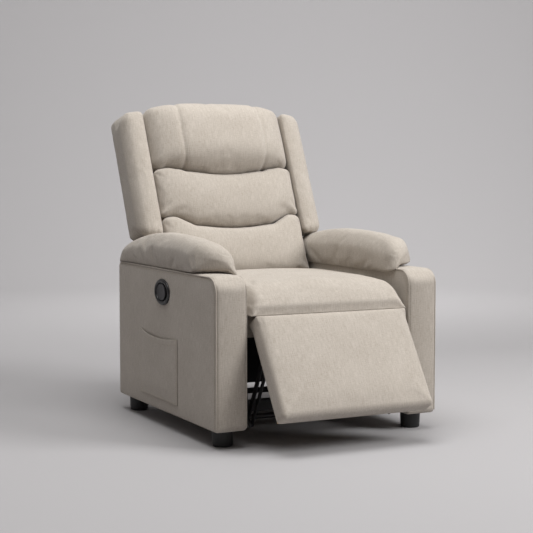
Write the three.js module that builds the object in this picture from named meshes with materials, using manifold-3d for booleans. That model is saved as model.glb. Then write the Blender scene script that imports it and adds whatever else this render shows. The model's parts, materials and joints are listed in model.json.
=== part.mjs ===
// A recliner armchair as an assembly of separate parts.
// Millimetres. +Z is up, the sitter looks along -Y, and +X is at the right of someone facing the chair.
// While it is modelled, Y = 0 is the front face of the arms; at the end the whole chair is moved
// along Y so that its origin is the middle of its footprint, on the floor.
import * as THREE from 'three';
import { mergeVertices } from 'three/addons/utils/BufferGeometryUtils.js';
import Module from 'manifold-3d';

const wasm = await Module();
wasm.setup();

// ---- driving dimensions ------------------------------------------------------------------------
const overallWidth = 760;
const armWidth = 104;
const armDepth = 792;
const armAboveSeat = 27;
const armWall = 12;
const armCornerRadius = 52;
const footHeight = 50;
const footRadius = 32;
const footFrontInset = 65;
const footRearInset = 58;
const footStudRadius = 4;
const footStudLength = 28;

const touchGap = 0.6;
const runningGap = 0.5;
const softEase = 4;
const pinRadius = 5;
const plateThickness = 4;
const layerPitch = 6;

const armFrameThickness = 22;
const armFrameInset = 20;
const armFrameHoleRadius = 50;
const armFrameHolePitch = 190;

const padHeight = 106;
const padNoseY = 74;
const padUndercut = 54;
const padNoseDepth = 14;
const padEndLift = 20;
const padRearInset = 4;
const padFlapThickness = 10;
const padFlapFront = 150;
// Along the pad from nose to rear end: share of its length, and how far its top is below the crown.
const padCrown = [
  [0.97, 61],
  [0.88, 25],
  [0.72, 9],
  [0.55, 0],
  [0.37, 0],
  [0.23, 4],
  [0.11, 14],
  [0.03, 38],
  [0, 62],
];

const seatUnderside = 389;
const seatToBackPivot = 50;
const seatThickness = 87;
const seatSideGap = 1.5;
const seatRailHeight = 71;
const seatRailThickness = 20;
const seatRailFront = 94;
const seatRailSetIn = 5;
const springWire = 4;
const springAmplitude = 22;
const springPeriod = 60;
const springPitch = 115;
const springCount = 4;

// Side plates, link pivots and link lengths. Angles are from straight forward, upwards.
const sidePlateInset = 26;
const drivePivotY = 95;
const drivePivotBelowSeat = 127;
const driveLength = 187.5;
const carrierLength = 192;
const driveClosedAngle = -117.7;
const carrierAngle = 61.8;
const linkWidth = 18;
const rearLinkOffset = 36;
const rearLinkAngle = 195;
const pushLinkOffset = 31;
const pushLinkWidth = 14;
const carrierEyeRadius = 11.5;
const pushLinkAngle = 48;
const driveTubeRadius = 8;

const footrestTilt = 32.6;
const footrestLength = 325;
const footrestSideGap = 14;
const footrestPadThickness = 44;
const footrestBoardThickness = 12;
const bracketPivotDown = 120;
const bracketPivotBehind = 80;

const flapHingeY = 88;
const flapBelowSeat = 5;
const flapLength = 120;
const flapThickness = 3;
const flapRestAngle = 58.8;
const flapSideGap = 10;

const backPivotFromRear = 172;
const backPivotBelowSeat = 9;
const backLean = 24.65;
const backPostWidth = 30;
const backPostDepth = 40;
const backPostTop = 640;
const backRailHeight = 38;
const backRailDepth = 24;
const backFrontFace = -73;
const backWebThickness = 2;
const backWebHeight = 60;
const backWebLevels = [150, 345];
const backPanelFront = 24;
const backPanelThickness = 22;
const backPanelTop = 643;
const cushionSplits = [52, 256, 440];
const cushionCrowns = [14, 18, 46];
const crownReach = 70;
const backTop = 690;
const backSideGap = 14;
const wingWidth = 79.5;
const wingGap = 10;
const wingFrontTop = 658;
const wingRearTop = 672;
const wingDepthTop = 64;
const backBracketThickness = 4;

const baseRailHeight = 35;
const baseRailLift = 8;
const baseRailFront = 205;
const baseRailRearInset = 70;
const baseRailWall = 3;
const crossRailFront = 236;
const crossRailDepth = 25;
const crossTubeFromPivot = 120;
const crossTubeRadius = 10;
const rearBoardInset = 47;
const rearBoardThickness = 20;
const rearBoardHeight = 102;

const handle = { y: 396, drop: 73, length: 114, height: 78, flange: 3, depth: 33, wall: 2.5 };
const handleFlangeLip = 7;
const paddleThickness = 4;
const paddleClearance = 2;
const paddleSetBack = 22;
const paddlePinRadius = 2;
const paddleKnuckleRadius = 4.5;
const paddleKnuckleHalf = 12;

const pocket = { front: 278, rear: 582, bottom: 87, top: 300, cavity: 5.4, sheet: 2.4, border: 7 };
const pocketDip = 16;

const cableRadius = 2.5;
// The cable crosses the arm's inner wall at this place, and the latch turns beside it.
const cableRoute = { wallY: 405, wallZ: 205 };
const latchPivot = { y: cableRoute.wallY, z: cableRoute.wallZ };
const latchLength = 46;
const latchThickness = 4;

// ---- derived places ----------------------------------------------------------------------------
const armInnerX = overallWidth / 2 - armWidth;
const armOuterX = overallWidth / 2;
const armMidX = (armInnerX + armOuterX) / 2;
const sidePlateX = armInnerX - sidePlateInset;
const seatTop = seatUnderside + seatThickness;
const armTop = seatTop + armAboveSeat;
const drivePivot = { y: drivePivotY, z: seatUnderside - drivePivotBelowSeat };
const flapHinge = { y: flapHingeY, z: seatUnderside - flapBelowSeat };
const backPivot = { y: armDepth - backPivotFromRear, z: seatUnderside - backPivotBelowSeat };
const seatRear = backPivot.y - seatToBackPivot;
const seatRearRailY = seatRear - seatRailThickness - seatRailSetIn;
const padFlapRear = seatRear + seatRailSetIn;
const footrestWidth = 2 * (armInnerX - footrestSideGap);
const backCushionWidth = 2 * (armInnerX - backSideGap);
const baseRailBottom = footHeight + baseRailLift;
const baseRailRear = armDepth - baseRailRearInset;
const crossTubeY = backPivot.y - crossTubeFromPivot;
const rearBoardY = armDepth - rearBoardInset;
const seatHalf = armInnerX - seatSideGap;
const driveRestAngle = driveClosedAngle + footrestTilt;
const driveLayer = sidePlateX - layerPitch;
const carrierLayer = sidePlateX - 2 * layerPitch;
const bracketLayer = sidePlateX - 3 * layerPitch;
const flapWidth = 2 * (bracketLayer - flapSideGap);
const seatRailTop = seatUnderside - springWire - 2;
const handleX = -armOuterX - touchGap;
const handleZ = armTop - handle.drop;
const paddleHingeY = handle.length / 3;

// ---- materials ---------------------------------------------------------------------------------
function finish(color, roughness, metalness) {
  return new THREE.MeshStandardMaterial({ color, roughness, metalness });
}
const fabric = () => finish('#b9afa2', 0.95, 0);
const fabricBack = () => finish('#8f8677', 0.95, 0);
const plywood = () => finish('#b08d5e', 0.7, 0);
const blackSteel = () => finish('#1b1b1c', 0.45, 0.6);
const springSteel = () => finish('#4a4a4c', 0.4, 0.9);
const blackPlastic = () => finish('#262626', 0.4, 0);
const webbing = () => finish('#3a3a38', 0.9, 0);

// ---- geometry helpers --------------------------------------------------------------------------
const radians = THREE.MathUtils.degToRad;

// Carries a drawing in (y, z), extruded along its own normal, onto the chair's Y, Z and X.
const sideways = new THREE.Matrix4().makeBasis(
  new THREE.Vector3(0, 1, 0),
  new THREE.Vector3(0, 0, 1),
  new THREE.Vector3(1, 0, 0),
);

function bareGeometry(geometry) {
  const bare = geometry.index ? geometry.toNonIndexed() : geometry.clone();
  bare.deleteAttribute('normal');
  bare.deleteAttribute('uv');
  return mergeVertices(bare, 1e-4);
}

function toSolid(geometry) {
  const merged = bareGeometry(geometry);
  const mesh = new wasm.Mesh({
    numProp: 3,
    vertProperties: new Float32Array(merged.attributes.position.array),
    triVerts: new Uint32Array(merged.index.array),
  });
  return new wasm.Manifold(mesh);
}

function toGeometry(solid) {
  const mesh = solid.getMesh();
  const geometry = new THREE.BufferGeometry();
  geometry.setAttribute('position', new THREE.BufferAttribute(mesh.vertProperties, 3));
  geometry.setIndex(new THREE.BufferAttribute(mesh.triVerts, 1));
  geometry.computeVertexNormals();
  return geometry;
}

function join(...geometries) {
  return toGeometry(geometries.map(toSolid).reduce((sum, piece) => sum.add(piece)));
}

function cut(geometry, ...tools) {
  return toGeometry(tools.map(toSolid).reduce((left, tool) => left.subtract(tool), toSolid(geometry)));
}

function overlapOf(first, second) {
  return toGeometry(toSolid(first).intersect(toSolid(second)));
}

function block(x0, x1, y0, y1, z0, z1) {
  const geometry = new THREE.BoxGeometry(Math.abs(x1 - x0), y1 - y0, z1 - z0);
  return geometry.translate((x0 + x1) / 2, (y0 + y1) / 2, (z0 + z1) / 2);
}

function rodAlongX(radius, x0, x1, y, z, sides = 12) {
  const geometry = new THREE.CylinderGeometry(radius, radius, Math.abs(x1 - x0), sides);
  return geometry.rotateZ(Math.PI / 2).translate((x0 + x1) / 2, y, z);
}

function rodAlongZ(radius, z0, z1, x, y, sides = 12) {
  const geometry = new THREE.CylinderGeometry(radius, radius, z1 - z0, sides);
  return geometry.rotateX(Math.PI / 2).translate(x, y, (z0 + z1) / 2);
}

// A (y, z) outline whose corners are rounded; each point is [y, z, radius].
function roundedOutline(points) {
  const shape = new THREE.Shape();
  points.forEach(([y, z, radius = 0], index) => {
    const corner = new THREE.Vector2(y, z);
    const before = points[(index + points.length - 1) % points.length];
    const after = points[(index + 1) % points.length];
    const start = new THREE.Vector2(before[0], before[1]).sub(corner).setLength(radius).add(corner);
    const end = new THREE.Vector2(after[0], after[1]).sub(corner).setLength(radius).add(corner);
    if (index === 0) {
      shape.moveTo(start.x, start.y);
    } else {
      shape.lineTo(start.x, start.y);
    }
    if (radius > 0) {
      shape.quadraticCurveTo(y, z, end.x, end.y);
    }
  });
  shape.closePath();
  return shape;
}

// A (y, z) shape extruded from x0 to x1, with its two end edges eased by `ease`.
function sideExtrusion(shape, x0, x1, ease = 0, curveSegments = 3) {
  const low = Math.min(x0, x1);
  const depth = Math.abs(x1 - x0) - 2 * ease;
  const geometry = new THREE.ExtrudeGeometry(shape, {
    depth,
    curveSegments,
    bevelEnabled: ease > 0,
    bevelThickness: ease,
    bevelSize: ease,
    bevelOffset: -ease,
    bevelSegments: 2,
  });
  return geometry.applyMatrix4(sideways).translate(low + ease, 0, 0);
}

function ellipseAlongX(halfLength, halfHeight, x0, x1, y, z, sides = 12) {
  const shape = new THREE.Shape();
  shape.absellipse(y, z, halfLength, halfHeight, 0, 2 * Math.PI, false, 0);
  return sideExtrusion(shape, x0, x1, 0, sides);
}

function pointAt(start, length, angle) {
  return {
    y: start.y - length * Math.cos(radians(angle)),
    z: start.z + length * Math.sin(radians(angle)),
  };
}

// A flat bar with round ends from one pivot to another.
function barBetween(from, to, x0, x1, width = linkWidth) {
  const heading = Math.atan2(to.z - from.z, to.y - from.y);
  const shape = new THREE.Shape();
  shape.absarc(to.y, to.z, width / 2, heading - Math.PI / 2, heading + Math.PI / 2, false);
  shape.absarc(from.y, from.z, width / 2, heading + Math.PI / 2, heading + 1.5 * Math.PI, false);
  return sideExtrusion(shape, x0, x1);
}

function sweptTube(points, radius, steps, sides) {
  const path = new THREE.CatmullRomCurve3(points.map(([x, y, z]) => new THREE.Vector3(x, y, z)));
  const section = new THREE.Shape();
  section.absarc(0, 0, radius, 0, 2 * Math.PI, false);
  return new THREE.ExtrudeGeometry(section, { extrudePath: path, steps, curveSegments: sides });
}

// ---- the assembly ------------------------------------------------------------------------------
const chair = new THREE.Group();
const sides = [
  { name: 'left', sign: -1 },
  { name: 'right', sign: 1 },
];

function place(parent, name, geometry, material) {
  const mesh = new THREE.Mesh(geometry, material);
  mesh.name = name;
  parent.add(mesh);
  return mesh;
}

// ---- arms: frame, upholstered cover, pad, feet ---------------------------------------------------
function armProfile(inset, bottom) {
  const radius = Math.max(armCornerRadius - inset, 6);
  return roundedOutline([
    [inset, bottom],
    [armDepth - inset, bottom],
    [armDepth - inset, armTop - inset, 16],
    [inset, armTop - inset, radius],
  ]);
}

function armCover({ name, sign }) {
  const shell = sideExtrusion(armProfile(0, footHeight), sign * armInnerX, sign * armOuterX, 10);
  const hollow = sideExtrusion(
    armProfile(armWall, footHeight - 1),
    sign * (armInnerX + armWall),
    sign * (armOuterX - armWall),
  );
  const cuts = [hollow];
  if (sign < 0) {
    const halfCupLength = handle.length / 2 - handleFlangeLip + touchGap;
    const halfCupHeight = handle.height / 2 - handleFlangeLip + touchGap;
    cuts.push(ellipseAlongX(halfCupLength, halfCupHeight, -armOuterX - 1, -armOuterX + armWall + 1,
      handle.y, handleZ));
    cuts.push(rodAlongX(cableRadius + 2, -armInnerX - armWall - 1, -armInnerX + 1,
      cableRoute.wallY, cableRoute.wallZ));
  }
  place(chair, `arm_cover_${name}`, cut(shell, ...cuts), fabric());
}

function armFrame({ name, sign }) {
  const inner = sign * (armMidX - armFrameThickness / 2);
  const outer = sign * (armMidX + armFrameThickness / 2);
  const top = armTop - armWall - touchGap;
  const outline = roundedOutline([
    [armFrameInset, footHeight + touchGap],
    [armDepth - armFrameInset, footHeight + touchGap],
    [armDepth - armFrameInset, top, 20],
    [armFrameInset, top, armCornerRadius],
  ]);
  const panel = sideExtrusion(outline, inner, outer);
  const holes = [];
  for (const level of [cableRoute.wallZ, cableRoute.wallZ + armFrameHolePitch]) {
    for (const step of [-1, 0, 1]) {
      const y = cableRoute.wallY + step * armFrameHolePitch;
      holes.push(rodAlongX(armFrameHoleRadius, inner - sign, outer + sign, y, level, 12));
    }
  }
  for (const y of [footFrontInset, armDepth - footRearInset]) {
    holes.push(rodAlongZ(footStudRadius + runningGap, footHeight, footHeight + footStudLength + 2,
      sign * armMidX, y, 8));
  }
  place(chair, `arm_frame_${name}`, cut(panel, ...holes), plywood());
}

function padProfile() {
  const base = armTop + touchGap;
  const top = armTop + padHeight;
  const shape = new THREE.Shape();
  shape.moveTo(padNoseY + padUndercut, base);
  shape.lineTo(armDepth - padRearInset, base);
  shape.lineTo(armDepth - padRearInset, base + padEndLift + 2);
  const length = armDepth - padRearInset - padNoseY;
  const crown = padCrown.map(([share, drop]) => new THREE.Vector2(padNoseY + share * length, top - drop));
  shape.splineThru([...crown, new THREE.Vector2(padNoseY + padNoseDepth, base + padEndLift)]);
  shape.lineTo(padNoseY + padUndercut, base);
  return shape;
}

function armPad({ name, sign }) {
  const body = sideExtrusion(padProfile(), sign * (armInnerX - padFlapThickness),
    sign * (armOuterX - 1), softEase, 2);
  const flap = block(sign * (armInnerX - padFlapThickness), sign * (armInnerX - touchGap),
    padFlapFront, padFlapRear, seatTop + 8, armTop + 30);
  place(chair, `arm_pad_${name}`, join(body, flap), fabric());
}

function foot(side, end, y) {
  const profile = [
    [0, 0],
    [footRadius - 4, 0],
    [footRadius - 2, 3],
    [footRadius, footHeight - 6],
    [footRadius, footHeight],
    [footStudRadius, footHeight],
    [footStudRadius, footHeight + footStudLength],
    [0, footHeight + footStudLength],
  ].map(([radius, z]) => new THREE.Vector2(radius, z));
  const geometry = new THREE.LatheGeometry(profile, 18).rotateX(Math.PI / 2);
  const mesh = place(chair, `foot_${end}_${side.name}`, geometry, blackPlastic());
  mesh.position.set(side.sign * armMidX, y, 0);
}

// ---- base: rails and tubes between the arms ------------------------------------------------------
function baseRail({ name, sign }) {
  const outer = sign * (armInnerX - touchGap);
  const inner = sign * (sidePlateX + touchGap);
  const foot = block(inner, outer, baseRailFront, baseRailRear, baseRailBottom,
    baseRailBottom + baseRailWall);
  const web = block(outer - sign * baseRailWall, outer, baseRailFront, baseRailRear, baseRailBottom,
    baseRailBottom + baseRailHeight);
  place(chair, `base_rail_${name}`, join(foot, web), blackSteel());
}

function crossMembers() {
  const half = sidePlateX - plateThickness - touchGap;
  place(chair, 'front_cross_rail', block(-half, half, crossRailFront, crossRailFront + crossRailDepth,
    baseRailBottom, baseRailBottom + baseRailHeight), blackSteel());
  place(chair, 'rear_cross_tube', rodAlongX(crossTubeRadius, -half, half, crossTubeY,
    baseRailBottom + baseRailHeight / 2, 16), blackSteel());
  const boardHalf = armInnerX - touchGap;
  place(chair, 'rear_cross_board', block(-boardHalf, boardHalf, rearBoardY,
    rearBoardY + rearBoardThickness, baseRailBottom, baseRailBottom + rearBoardHeight), plywood());
}

const rearAnchor = pointAt(drivePivot, rearLinkOffset, rearLinkAngle);

function sidePlate({ name, sign }) {
  const eye = 14;
  const top = seatRailTop;
  const base = baseRailBottom;
  const outline = roundedOutline([
    [drivePivot.y - eye, drivePivot.z - eye, 8],
    [drivePivot.y + eye, drivePivot.z - eye - 12, 12],
    [crossRailFront, drivePivot.z - 40, 20],
    [crossRailFront - 4, base, 4],
    [crossTubeY + 25, base, 4],
    [backPivot.y - 50, drivePivot.z, 20],
    [backPivot.y + 24, backPivot.z - 30, 12],
    [backPivot.y + 24, backPivot.z + 22, 14],
    [backPivot.y - 24, backPivot.z + 22, 14],
    [backPivot.y - 60, top, 10],
    [seatRailFront + 20, top, 8],
    [drivePivot.y - eye, drivePivot.z + eye, 12],
  ]);
  const outer = sign * sidePlateX;
  const inner = sign * (sidePlateX - plateThickness);
  const clearance = pinRadius + runningGap;
  const holes = [drivePivot, rearAnchor, backPivot].map(({ y, z }) =>
    rodAlongX(clearance, inner - sign, outer + sign, y, z));
  if (sign < 0) {
    holes.push(rodAlongX(clearance, inner - sign, outer + sign, latchPivot.y, latchPivot.z));
  }
  place(chair, `side_plate_${name}`, cut(sideExtrusion(outline, inner, outer), ...holes), blackSteel());
}

// ---- seat ----------------------------------------------------------------------------------------
function seatFrame() {
  const low = seatRailTop - seatRailHeight;
  const inside = sidePlateX - plateThickness - touchGap;
  place(chair, 'seat_front_rail', block(-inside, inside, seatRailFront,
    seatRailFront + seatRailThickness, low, seatRailTop), plywood());
  place(chair, 'seat_rear_rail', block(-inside, inside, seatRearRailY,
    seatRearRailY + seatRailThickness, low + 30, seatRailTop), plywood());
  for (const { name, sign } of sides) {
    place(chair, `seat_side_rail_${name}`, block(sign * (sidePlateX + 4), sign * (armInnerX - 3),
      seatRailFront, backPivot.y - 30, low + 20, seatRailTop), plywood());
  }
}

function seatSpring(index) {
  const x = (index - (springCount - 1) / 2) * springPitch;
  const front = seatRailFront + seatRailThickness / 2;
  const rear = seatRearRailY + seatRailThickness / 2;
  const quarters = Math.round((rear - front) / springPeriod) * 4;
  const points = [];
  for (let step = 0; step <= quarters; step += 1) {
    const y = front + ((rear - front) * step) / quarters;
    const swing = Math.sin((step * Math.PI) / 2) * springAmplitude;
    points.push([x + swing, y, seatRailTop + touchGap + springWire / 2]);
  }
  place(chair, `seat_spring_${index + 1}`, sweptTube(points, springWire / 2, 44, 3), springSteel());
}

function seatCushion() {
  const shape = new THREE.Shape();
  shape.moveTo(0, seatUnderside);
  shape.lineTo(seatRear, seatUnderside);
  shape.lineTo(seatRear, seatTop - 18);
  shape.splineThru([
    new THREE.Vector2(seatRear - 30, seatTop - 8),
    new THREE.Vector2(seatRear - 180, seatTop),
    new THREE.Vector2(160, seatTop),
    new THREE.Vector2(80, seatTop - 9),
    new THREE.Vector2(20, seatTop - 30),
    new THREE.Vector2(-10, seatTop - 56),
    new THREE.Vector2(-8, seatUnderside + 8),
  ]);
  shape.lineTo(0, seatUnderside);
  place(chair, 'seat_cushion', sideExtrusion(shape, -seatHalf, seatHalf, softEase, 2), fabric());
}

// ---- release handle, its cable and latch, and the pocket on the left arm -------------------------
function handleBezel() {
  const { y, length, height, flange, depth, wall } = handle;
  const z = handleZ;
  const cupLength = length / 2 - handleFlangeLip;
  const cupHeight = height / 2 - handleFlangeLip;
  const rim = ellipseAlongX(length / 2, height / 2, handleX - flange, handleX, y, z);
  const cup = ellipseAlongX(cupLength, cupHeight, handleX - 1, handleX + depth, y, z);
  const hollow = ellipseAlongX(cupLength - wall, cupHeight - wall, handleX - flange - 1,
    handleX + depth - wall, y, z);
  const pinHole = rodAlongZ(paddlePinRadius + runningGap / 2, z - height, z + height,
    handleX - flange + paddleKnuckleRadius + 1, y + paddleHingeY, 12);
  place(chair, 'handle_bezel', cut(join(rim, cup), hollow, pinHole), blackPlastic());
}

function handlePaddle() {
  const { y, length, height, flange, wall } = handle;
  const z = handleZ;
  const hingeX = handleX - flange + paddleKnuckleRadius + 1;
  const front = handleX - flange + 0.5;
  const openLength = length / 2 - handleFlangeLip - wall - paddleClearance;
  const openHeight = height / 2 - handleFlangeLip - wall - paddleClearance;
  const whole = ellipseAlongX(openLength, openHeight, front, front + paddleThickness, y, z);
  const shifted = ellipseAlongX(openLength, openHeight + 6, front - 1, front + paddleThickness + 1,
    y + paddleSetBack, z);
  const knuckle = rodAlongZ(paddleKnuckleRadius, z - paddleKnuckleHalf, z + paddleKnuckleHalf,
    hingeX, y + paddleHingeY, 12);
  const lug = block(front + 1, handleX + 14, y + paddleHingeY - 16, y + paddleHingeY - 10, z - 4, z + 4);
  const pinHole = rodAlongZ(paddlePinRadius + runningGap, z - height, z + height, hingeX,
    y + paddleHingeY, 12);
  place(chair, 'handle_paddle', cut(join(overlapOf(whole, shifted), knuckle, lug), pinHole),
    blackPlastic());
  const cupHalf = (height / 2 - handleFlangeLip) * Math.sqrt(
    1 - (paddleHingeY / (length / 2 - handleFlangeLip)) ** 2);
  place(chair, 'paddle_pin', rodAlongZ(paddlePinRadius, z - cupHalf + 2, z + cupHalf - 2, hingeX,
    y + paddleHingeY, 12), springSteel());
}

function releaseCable() {
  const topX = handleX + handle.depth + touchGap + cableRadius + 1;
  const points = [
    [topX, handle.y + 24, handleZ + 6],
    [topX, handle.y + 24, handleZ - 60],
    [topX + 1, handle.y + 22, handleZ - 120],
    [topX, handle.y + 16, handleZ - 165],
    [topX + 4, cableRoute.wallY + 3, cableRoute.wallZ + 26],
    [-armMidX, cableRoute.wallY, cableRoute.wallZ + 4],
    [-armInnerX - armWall, cableRoute.wallY, cableRoute.wallZ],
    [-armInnerX, cableRoute.wallY, cableRoute.wallZ],
    [-sidePlateX - 10, cableRoute.wallY, cableRoute.wallZ],
  ];
  place(chair, 'release_cable', sweptTube(points, cableRadius, 32, 4), blackPlastic());
}

function releaseLatch() {
  const outer = -sidePlateX + plateThickness;
  const pivot = latchPivot;
  const near = outer + touchGap;
  const arm = barBetween(pivot, { y: pivot.y + 10, z: pivot.z - latchLength }, near,
    near + latchThickness, 14);
  const hook = barBetween(pivot, { y: pivot.y - 22, z: pivot.z + 6 }, near, near + latchThickness, 12);
  const pin = rodAlongX(pinRadius, -sidePlateX - 3, near + 1, pivot.y, pivot.z);
  place(chair, 'release_latch', join(arm, hook, pin), blackSteel());
}

function sidePocket() {
  const { front, rear, bottom, top, cavity, sheet, border } = pocket;
  const inner = -armOuterX - touchGap;
  const outer = inner - cavity - sheet;
  const outline = new THREE.Shape();
  outline.moveTo(front, bottom);
  outline.lineTo(rear, bottom);
  outline.lineTo(rear, top);
  outline.quadraticCurveTo((front + rear) / 2, top - 2 * pocketDip, front, top - 6);
  outline.closePath();
  const patch = sideExtrusion(outline, outer, inner);
  const space = block(inner - cavity, inner + 1, front + border, rear - border, bottom + border,
    top + 10);
  place(chair, 'side_pocket', cut(patch, space), fabric());
}

// ---- back: everything here leans with the back, u up along it and v rearwards from the pivot ----
const back = new THREE.Group();
back.position.set(0, backPivot.y, backPivot.z);
back.rotation.x = -radians(backLean);
chair.add(back);

const backPostOuter = sidePlateX - plateThickness - touchGap - backBracketThickness - touchGap;
const backPostInner = backPostOuter - backPostWidth;

function backFrame() {
  const halfDepth = backPostDepth / 2;
  for (const { name, sign } of sides) {
    place(back, `back_post_${name}`, block(sign * backPostInner, sign * backPostOuter, -halfDepth,
      halfDepth, 20, backPostTop), plywood());
    const bracketInner = sign * (backPostOuter + touchGap);
    const bracketOuter = bracketInner + sign * backBracketThickness;
    const outline = roundedOutline([
      [-20, -16, 14],
      [20, -16, 14],
      [18, 180, 8],
      [-18, 180, 8],
    ]);
    const pin = rodAlongX(pinRadius, bracketInner + sign, sign * (sidePlateX + 2), 0, 0);
    place(back, `back_bracket_${name}`, join(sideExtrusion(outline, bracketInner, bracketOuter), pin),
      blackSteel());
  }
  const railHalf = backPostInner - touchGap;
  const railDepth = backRailDepth / 2;
  place(back, 'back_bottom_rail', block(-railHalf, railHalf, -railDepth, railDepth, 60,
    60 + backRailHeight), plywood());
  place(back, 'back_top_rail', block(-railHalf, railHalf, -railDepth, railDepth,
    backPostTop - 12 - backRailHeight, backPostTop - 12), plywood());
  backWebLevels.forEach((level, index) => {
    place(back, `back_web_${index + 1}`, block(-backPostOuter, backPostOuter,
      -halfDepth - touchGap - backWebThickness, -halfDepth - touchGap, level,
      level + backWebHeight), webbing());
  });
}

function backCushions() {
  const rear = -backPostDepth / 2 - 2 * touchGap - backWebThickness;
  const half = backCushionWidth / 2;
  const names = ['lumbar_cushion', 'middle_cushion'];
  names.forEach((name, index) => {
    const low = cushionSplits[index] + touchGap;
    const high = cushionSplits[index + 1] - touchGap;
    const crown = backFrontFace - cushionCrowns[index];
    const shape = new THREE.Shape();
    shape.moveTo(rear, low);
    shape.lineTo(rear, high);
    shape.lineTo(backFrontFace + 6, high);
    shape.quadraticCurveTo(crown, (high + low) / 2 + crownReach, crown, (high + low) / 2);
    shape.quadraticCurveTo(crown, (high + low) / 2 - crownReach, backFrontFace + 6, low);
    place(back, name, sideExtrusion(shape, -half, half, softEase, 4), fabric());
  });
  const low = cushionSplits[2] + touchGap;
  const crown = backFrontFace - cushionCrowns[2];
  const shape = new THREE.Shape();
  shape.moveTo(rear, low);
  shape.lineTo(rear, backPanelTop + touchGap);
  shape.lineTo(backPanelFront + backPanelThickness, backPanelTop + touchGap);
  shape.splineThru([
    new THREE.Vector2(backPanelFront + backPanelThickness, backTop - 24),
    new THREE.Vector2(backPanelFront, backTop - 9),
    new THREE.Vector2(-40, backTop - 2),
    new THREE.Vector2(-90, backTop),
    new THREE.Vector2(crown + 10, backTop - 12),
    new THREE.Vector2(crown, backTop - 50),
    new THREE.Vector2(crown + 2, backTop - 110),
    new THREE.Vector2(backFrontFace - 26, low + 60),
    new THREE.Vector2(backFrontFace + 4, low + 4),
  ]);
  shape.lineTo(backFrontFace + 10, low);
  place(back, 'head_cushion', sideExtrusion(shape, -half, half, softEase, 2), fabric());
}

function wing({ name, sign }) {
  const inner = backCushionWidth / 2 + 3;
  // Its lower edge is an arc about the back pivot that passes clear over the rear of the arm pad.
  const padRadii = padProfile().getPoints(8).filter(({ x }) => x > backPivot.y - wingGap)
    .map(({ x, y }) => Math.hypot(x - backPivot.y, y - backPivot.z));
  const clearRadius = Math.max(...padRadii) + wingGap;
  const lowAt = (v) => Math.sqrt(clearRadius ** 2 - v ** 2);
  const front = backFrontFace + 3;
  const shape = new THREE.Shape();
  shape.moveTo(front, lowAt(front));
  const steps = 6;
  for (let step = 1; step <= steps; step += 1) {
    const v = front + ((wingDepthTop - 20 - front) * step) / steps;
    shape.lineTo(v, lowAt(v));
  }
  shape.lineTo(wingDepthTop, wingRearTop - 16);
  shape.quadraticCurveTo(wingDepthTop, wingRearTop, wingDepthTop - 16, wingRearTop);
  shape.lineTo(front + 42, wingFrontTop + 8);
  shape.quadraticCurveTo(front + 2, wingFrontTop + 4, front, wingFrontTop - 44);
  shape.closePath();
  place(back, `wing_${name}`, sideExtrusion(shape, sign * inner, sign * (inner + wingWidth), softEase, 3),
    fabric());
}

function backRearPanel() {
  const half = backCushionWidth / 2;
  place(back, 'back_rear_panel', block(-half, half, backPanelFront,
    backPanelFront + backPanelThickness, 20, backPanelTop), fabricBack());
}

// ---- footrest and its double-parallelogram linkage ----------------------------------------------
const driveEnd = pointAt(drivePivot, driveLength, driveRestAngle);
const carrierEnd = pointAt(driveEnd, carrierLength, carrierAngle);
const rearEnd = pointAt(driveEnd, rearLinkOffset, rearLinkAngle);
const pushStart = pointAt(driveEnd, pushLinkOffset, driveRestAngle + pushLinkAngle);
const pushEnd = pointAt(pushStart, carrierLength, carrierAngle);

function layer(sign, outerX) {
  return [sign * (outerX - plateThickness), sign * outerX];
}

function linkage({ name, sign }) {
  const driveX = layer(sign, driveLayer);
  const carrierX = layer(sign, carrierLayer);
  const pin = (point, from, to, radius = pinRadius) => rodAlongX(radius, sign * from, sign * to,
    point.y, point.z);
  const hole = (point, outerX, radius = pinRadius) => rodAlongX(radius + runningGap,
    sign * (outerX - plateThickness - 1), sign * (outerX + 1), point.y, point.z);
  const inwardPin = (point, outerX) => pin(point, outerX - plateThickness - layerPitch - 1, outerX - 1);

  place(chair, `drive_link_${name}`, join(
    barBetween(drivePivot, driveEnd, ...driveX),
    barBetween(driveEnd, pushStart, ...driveX),
    pin(drivePivot, driveLayer - 1, sidePlateX + 2),
    inwardPin(pushStart, driveLayer),
  ), blackSteel());

  place(chair, `rear_link_${name}`, join(
    barBetween(rearAnchor, rearEnd, ...driveX),
    pin(rearAnchor, driveLayer - 1, sidePlateX + 2),
    inwardPin(rearEnd, driveLayer),
  ), blackSteel());

  const carrier = join(
    barBetween(driveEnd, carrierEnd, ...carrierX),
    rodAlongX(carrierEyeRadius, ...carrierX, driveEnd.y, driveEnd.z, 20),
    barBetween(driveEnd, rearEnd, ...carrierX),
    inwardPin(carrierEnd, carrierLayer),
  );
  place(chair, `carrier_link_${name}`, cut(carrier, hole(driveEnd, carrierLayer, driveTubeRadius),
    hole(rearEnd, carrierLayer)), blackSteel());

  const push = join(
    barBetween(pushStart, pushEnd, ...carrierX, pushLinkWidth),
    inwardPin(pushEnd, carrierLayer),
  );
  place(chair, `push_link_${name}`, cut(push, hole(pushStart, carrierLayer)), blackSteel());
}

function driveTube() {
  const half = driveLayer - plateThickness - touchGap;
  place(chair, 'drive_tube', rodAlongX(driveTubeRadius, -half, half, driveEnd.y, driveEnd.z, 20),
    blackSteel());
}

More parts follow.
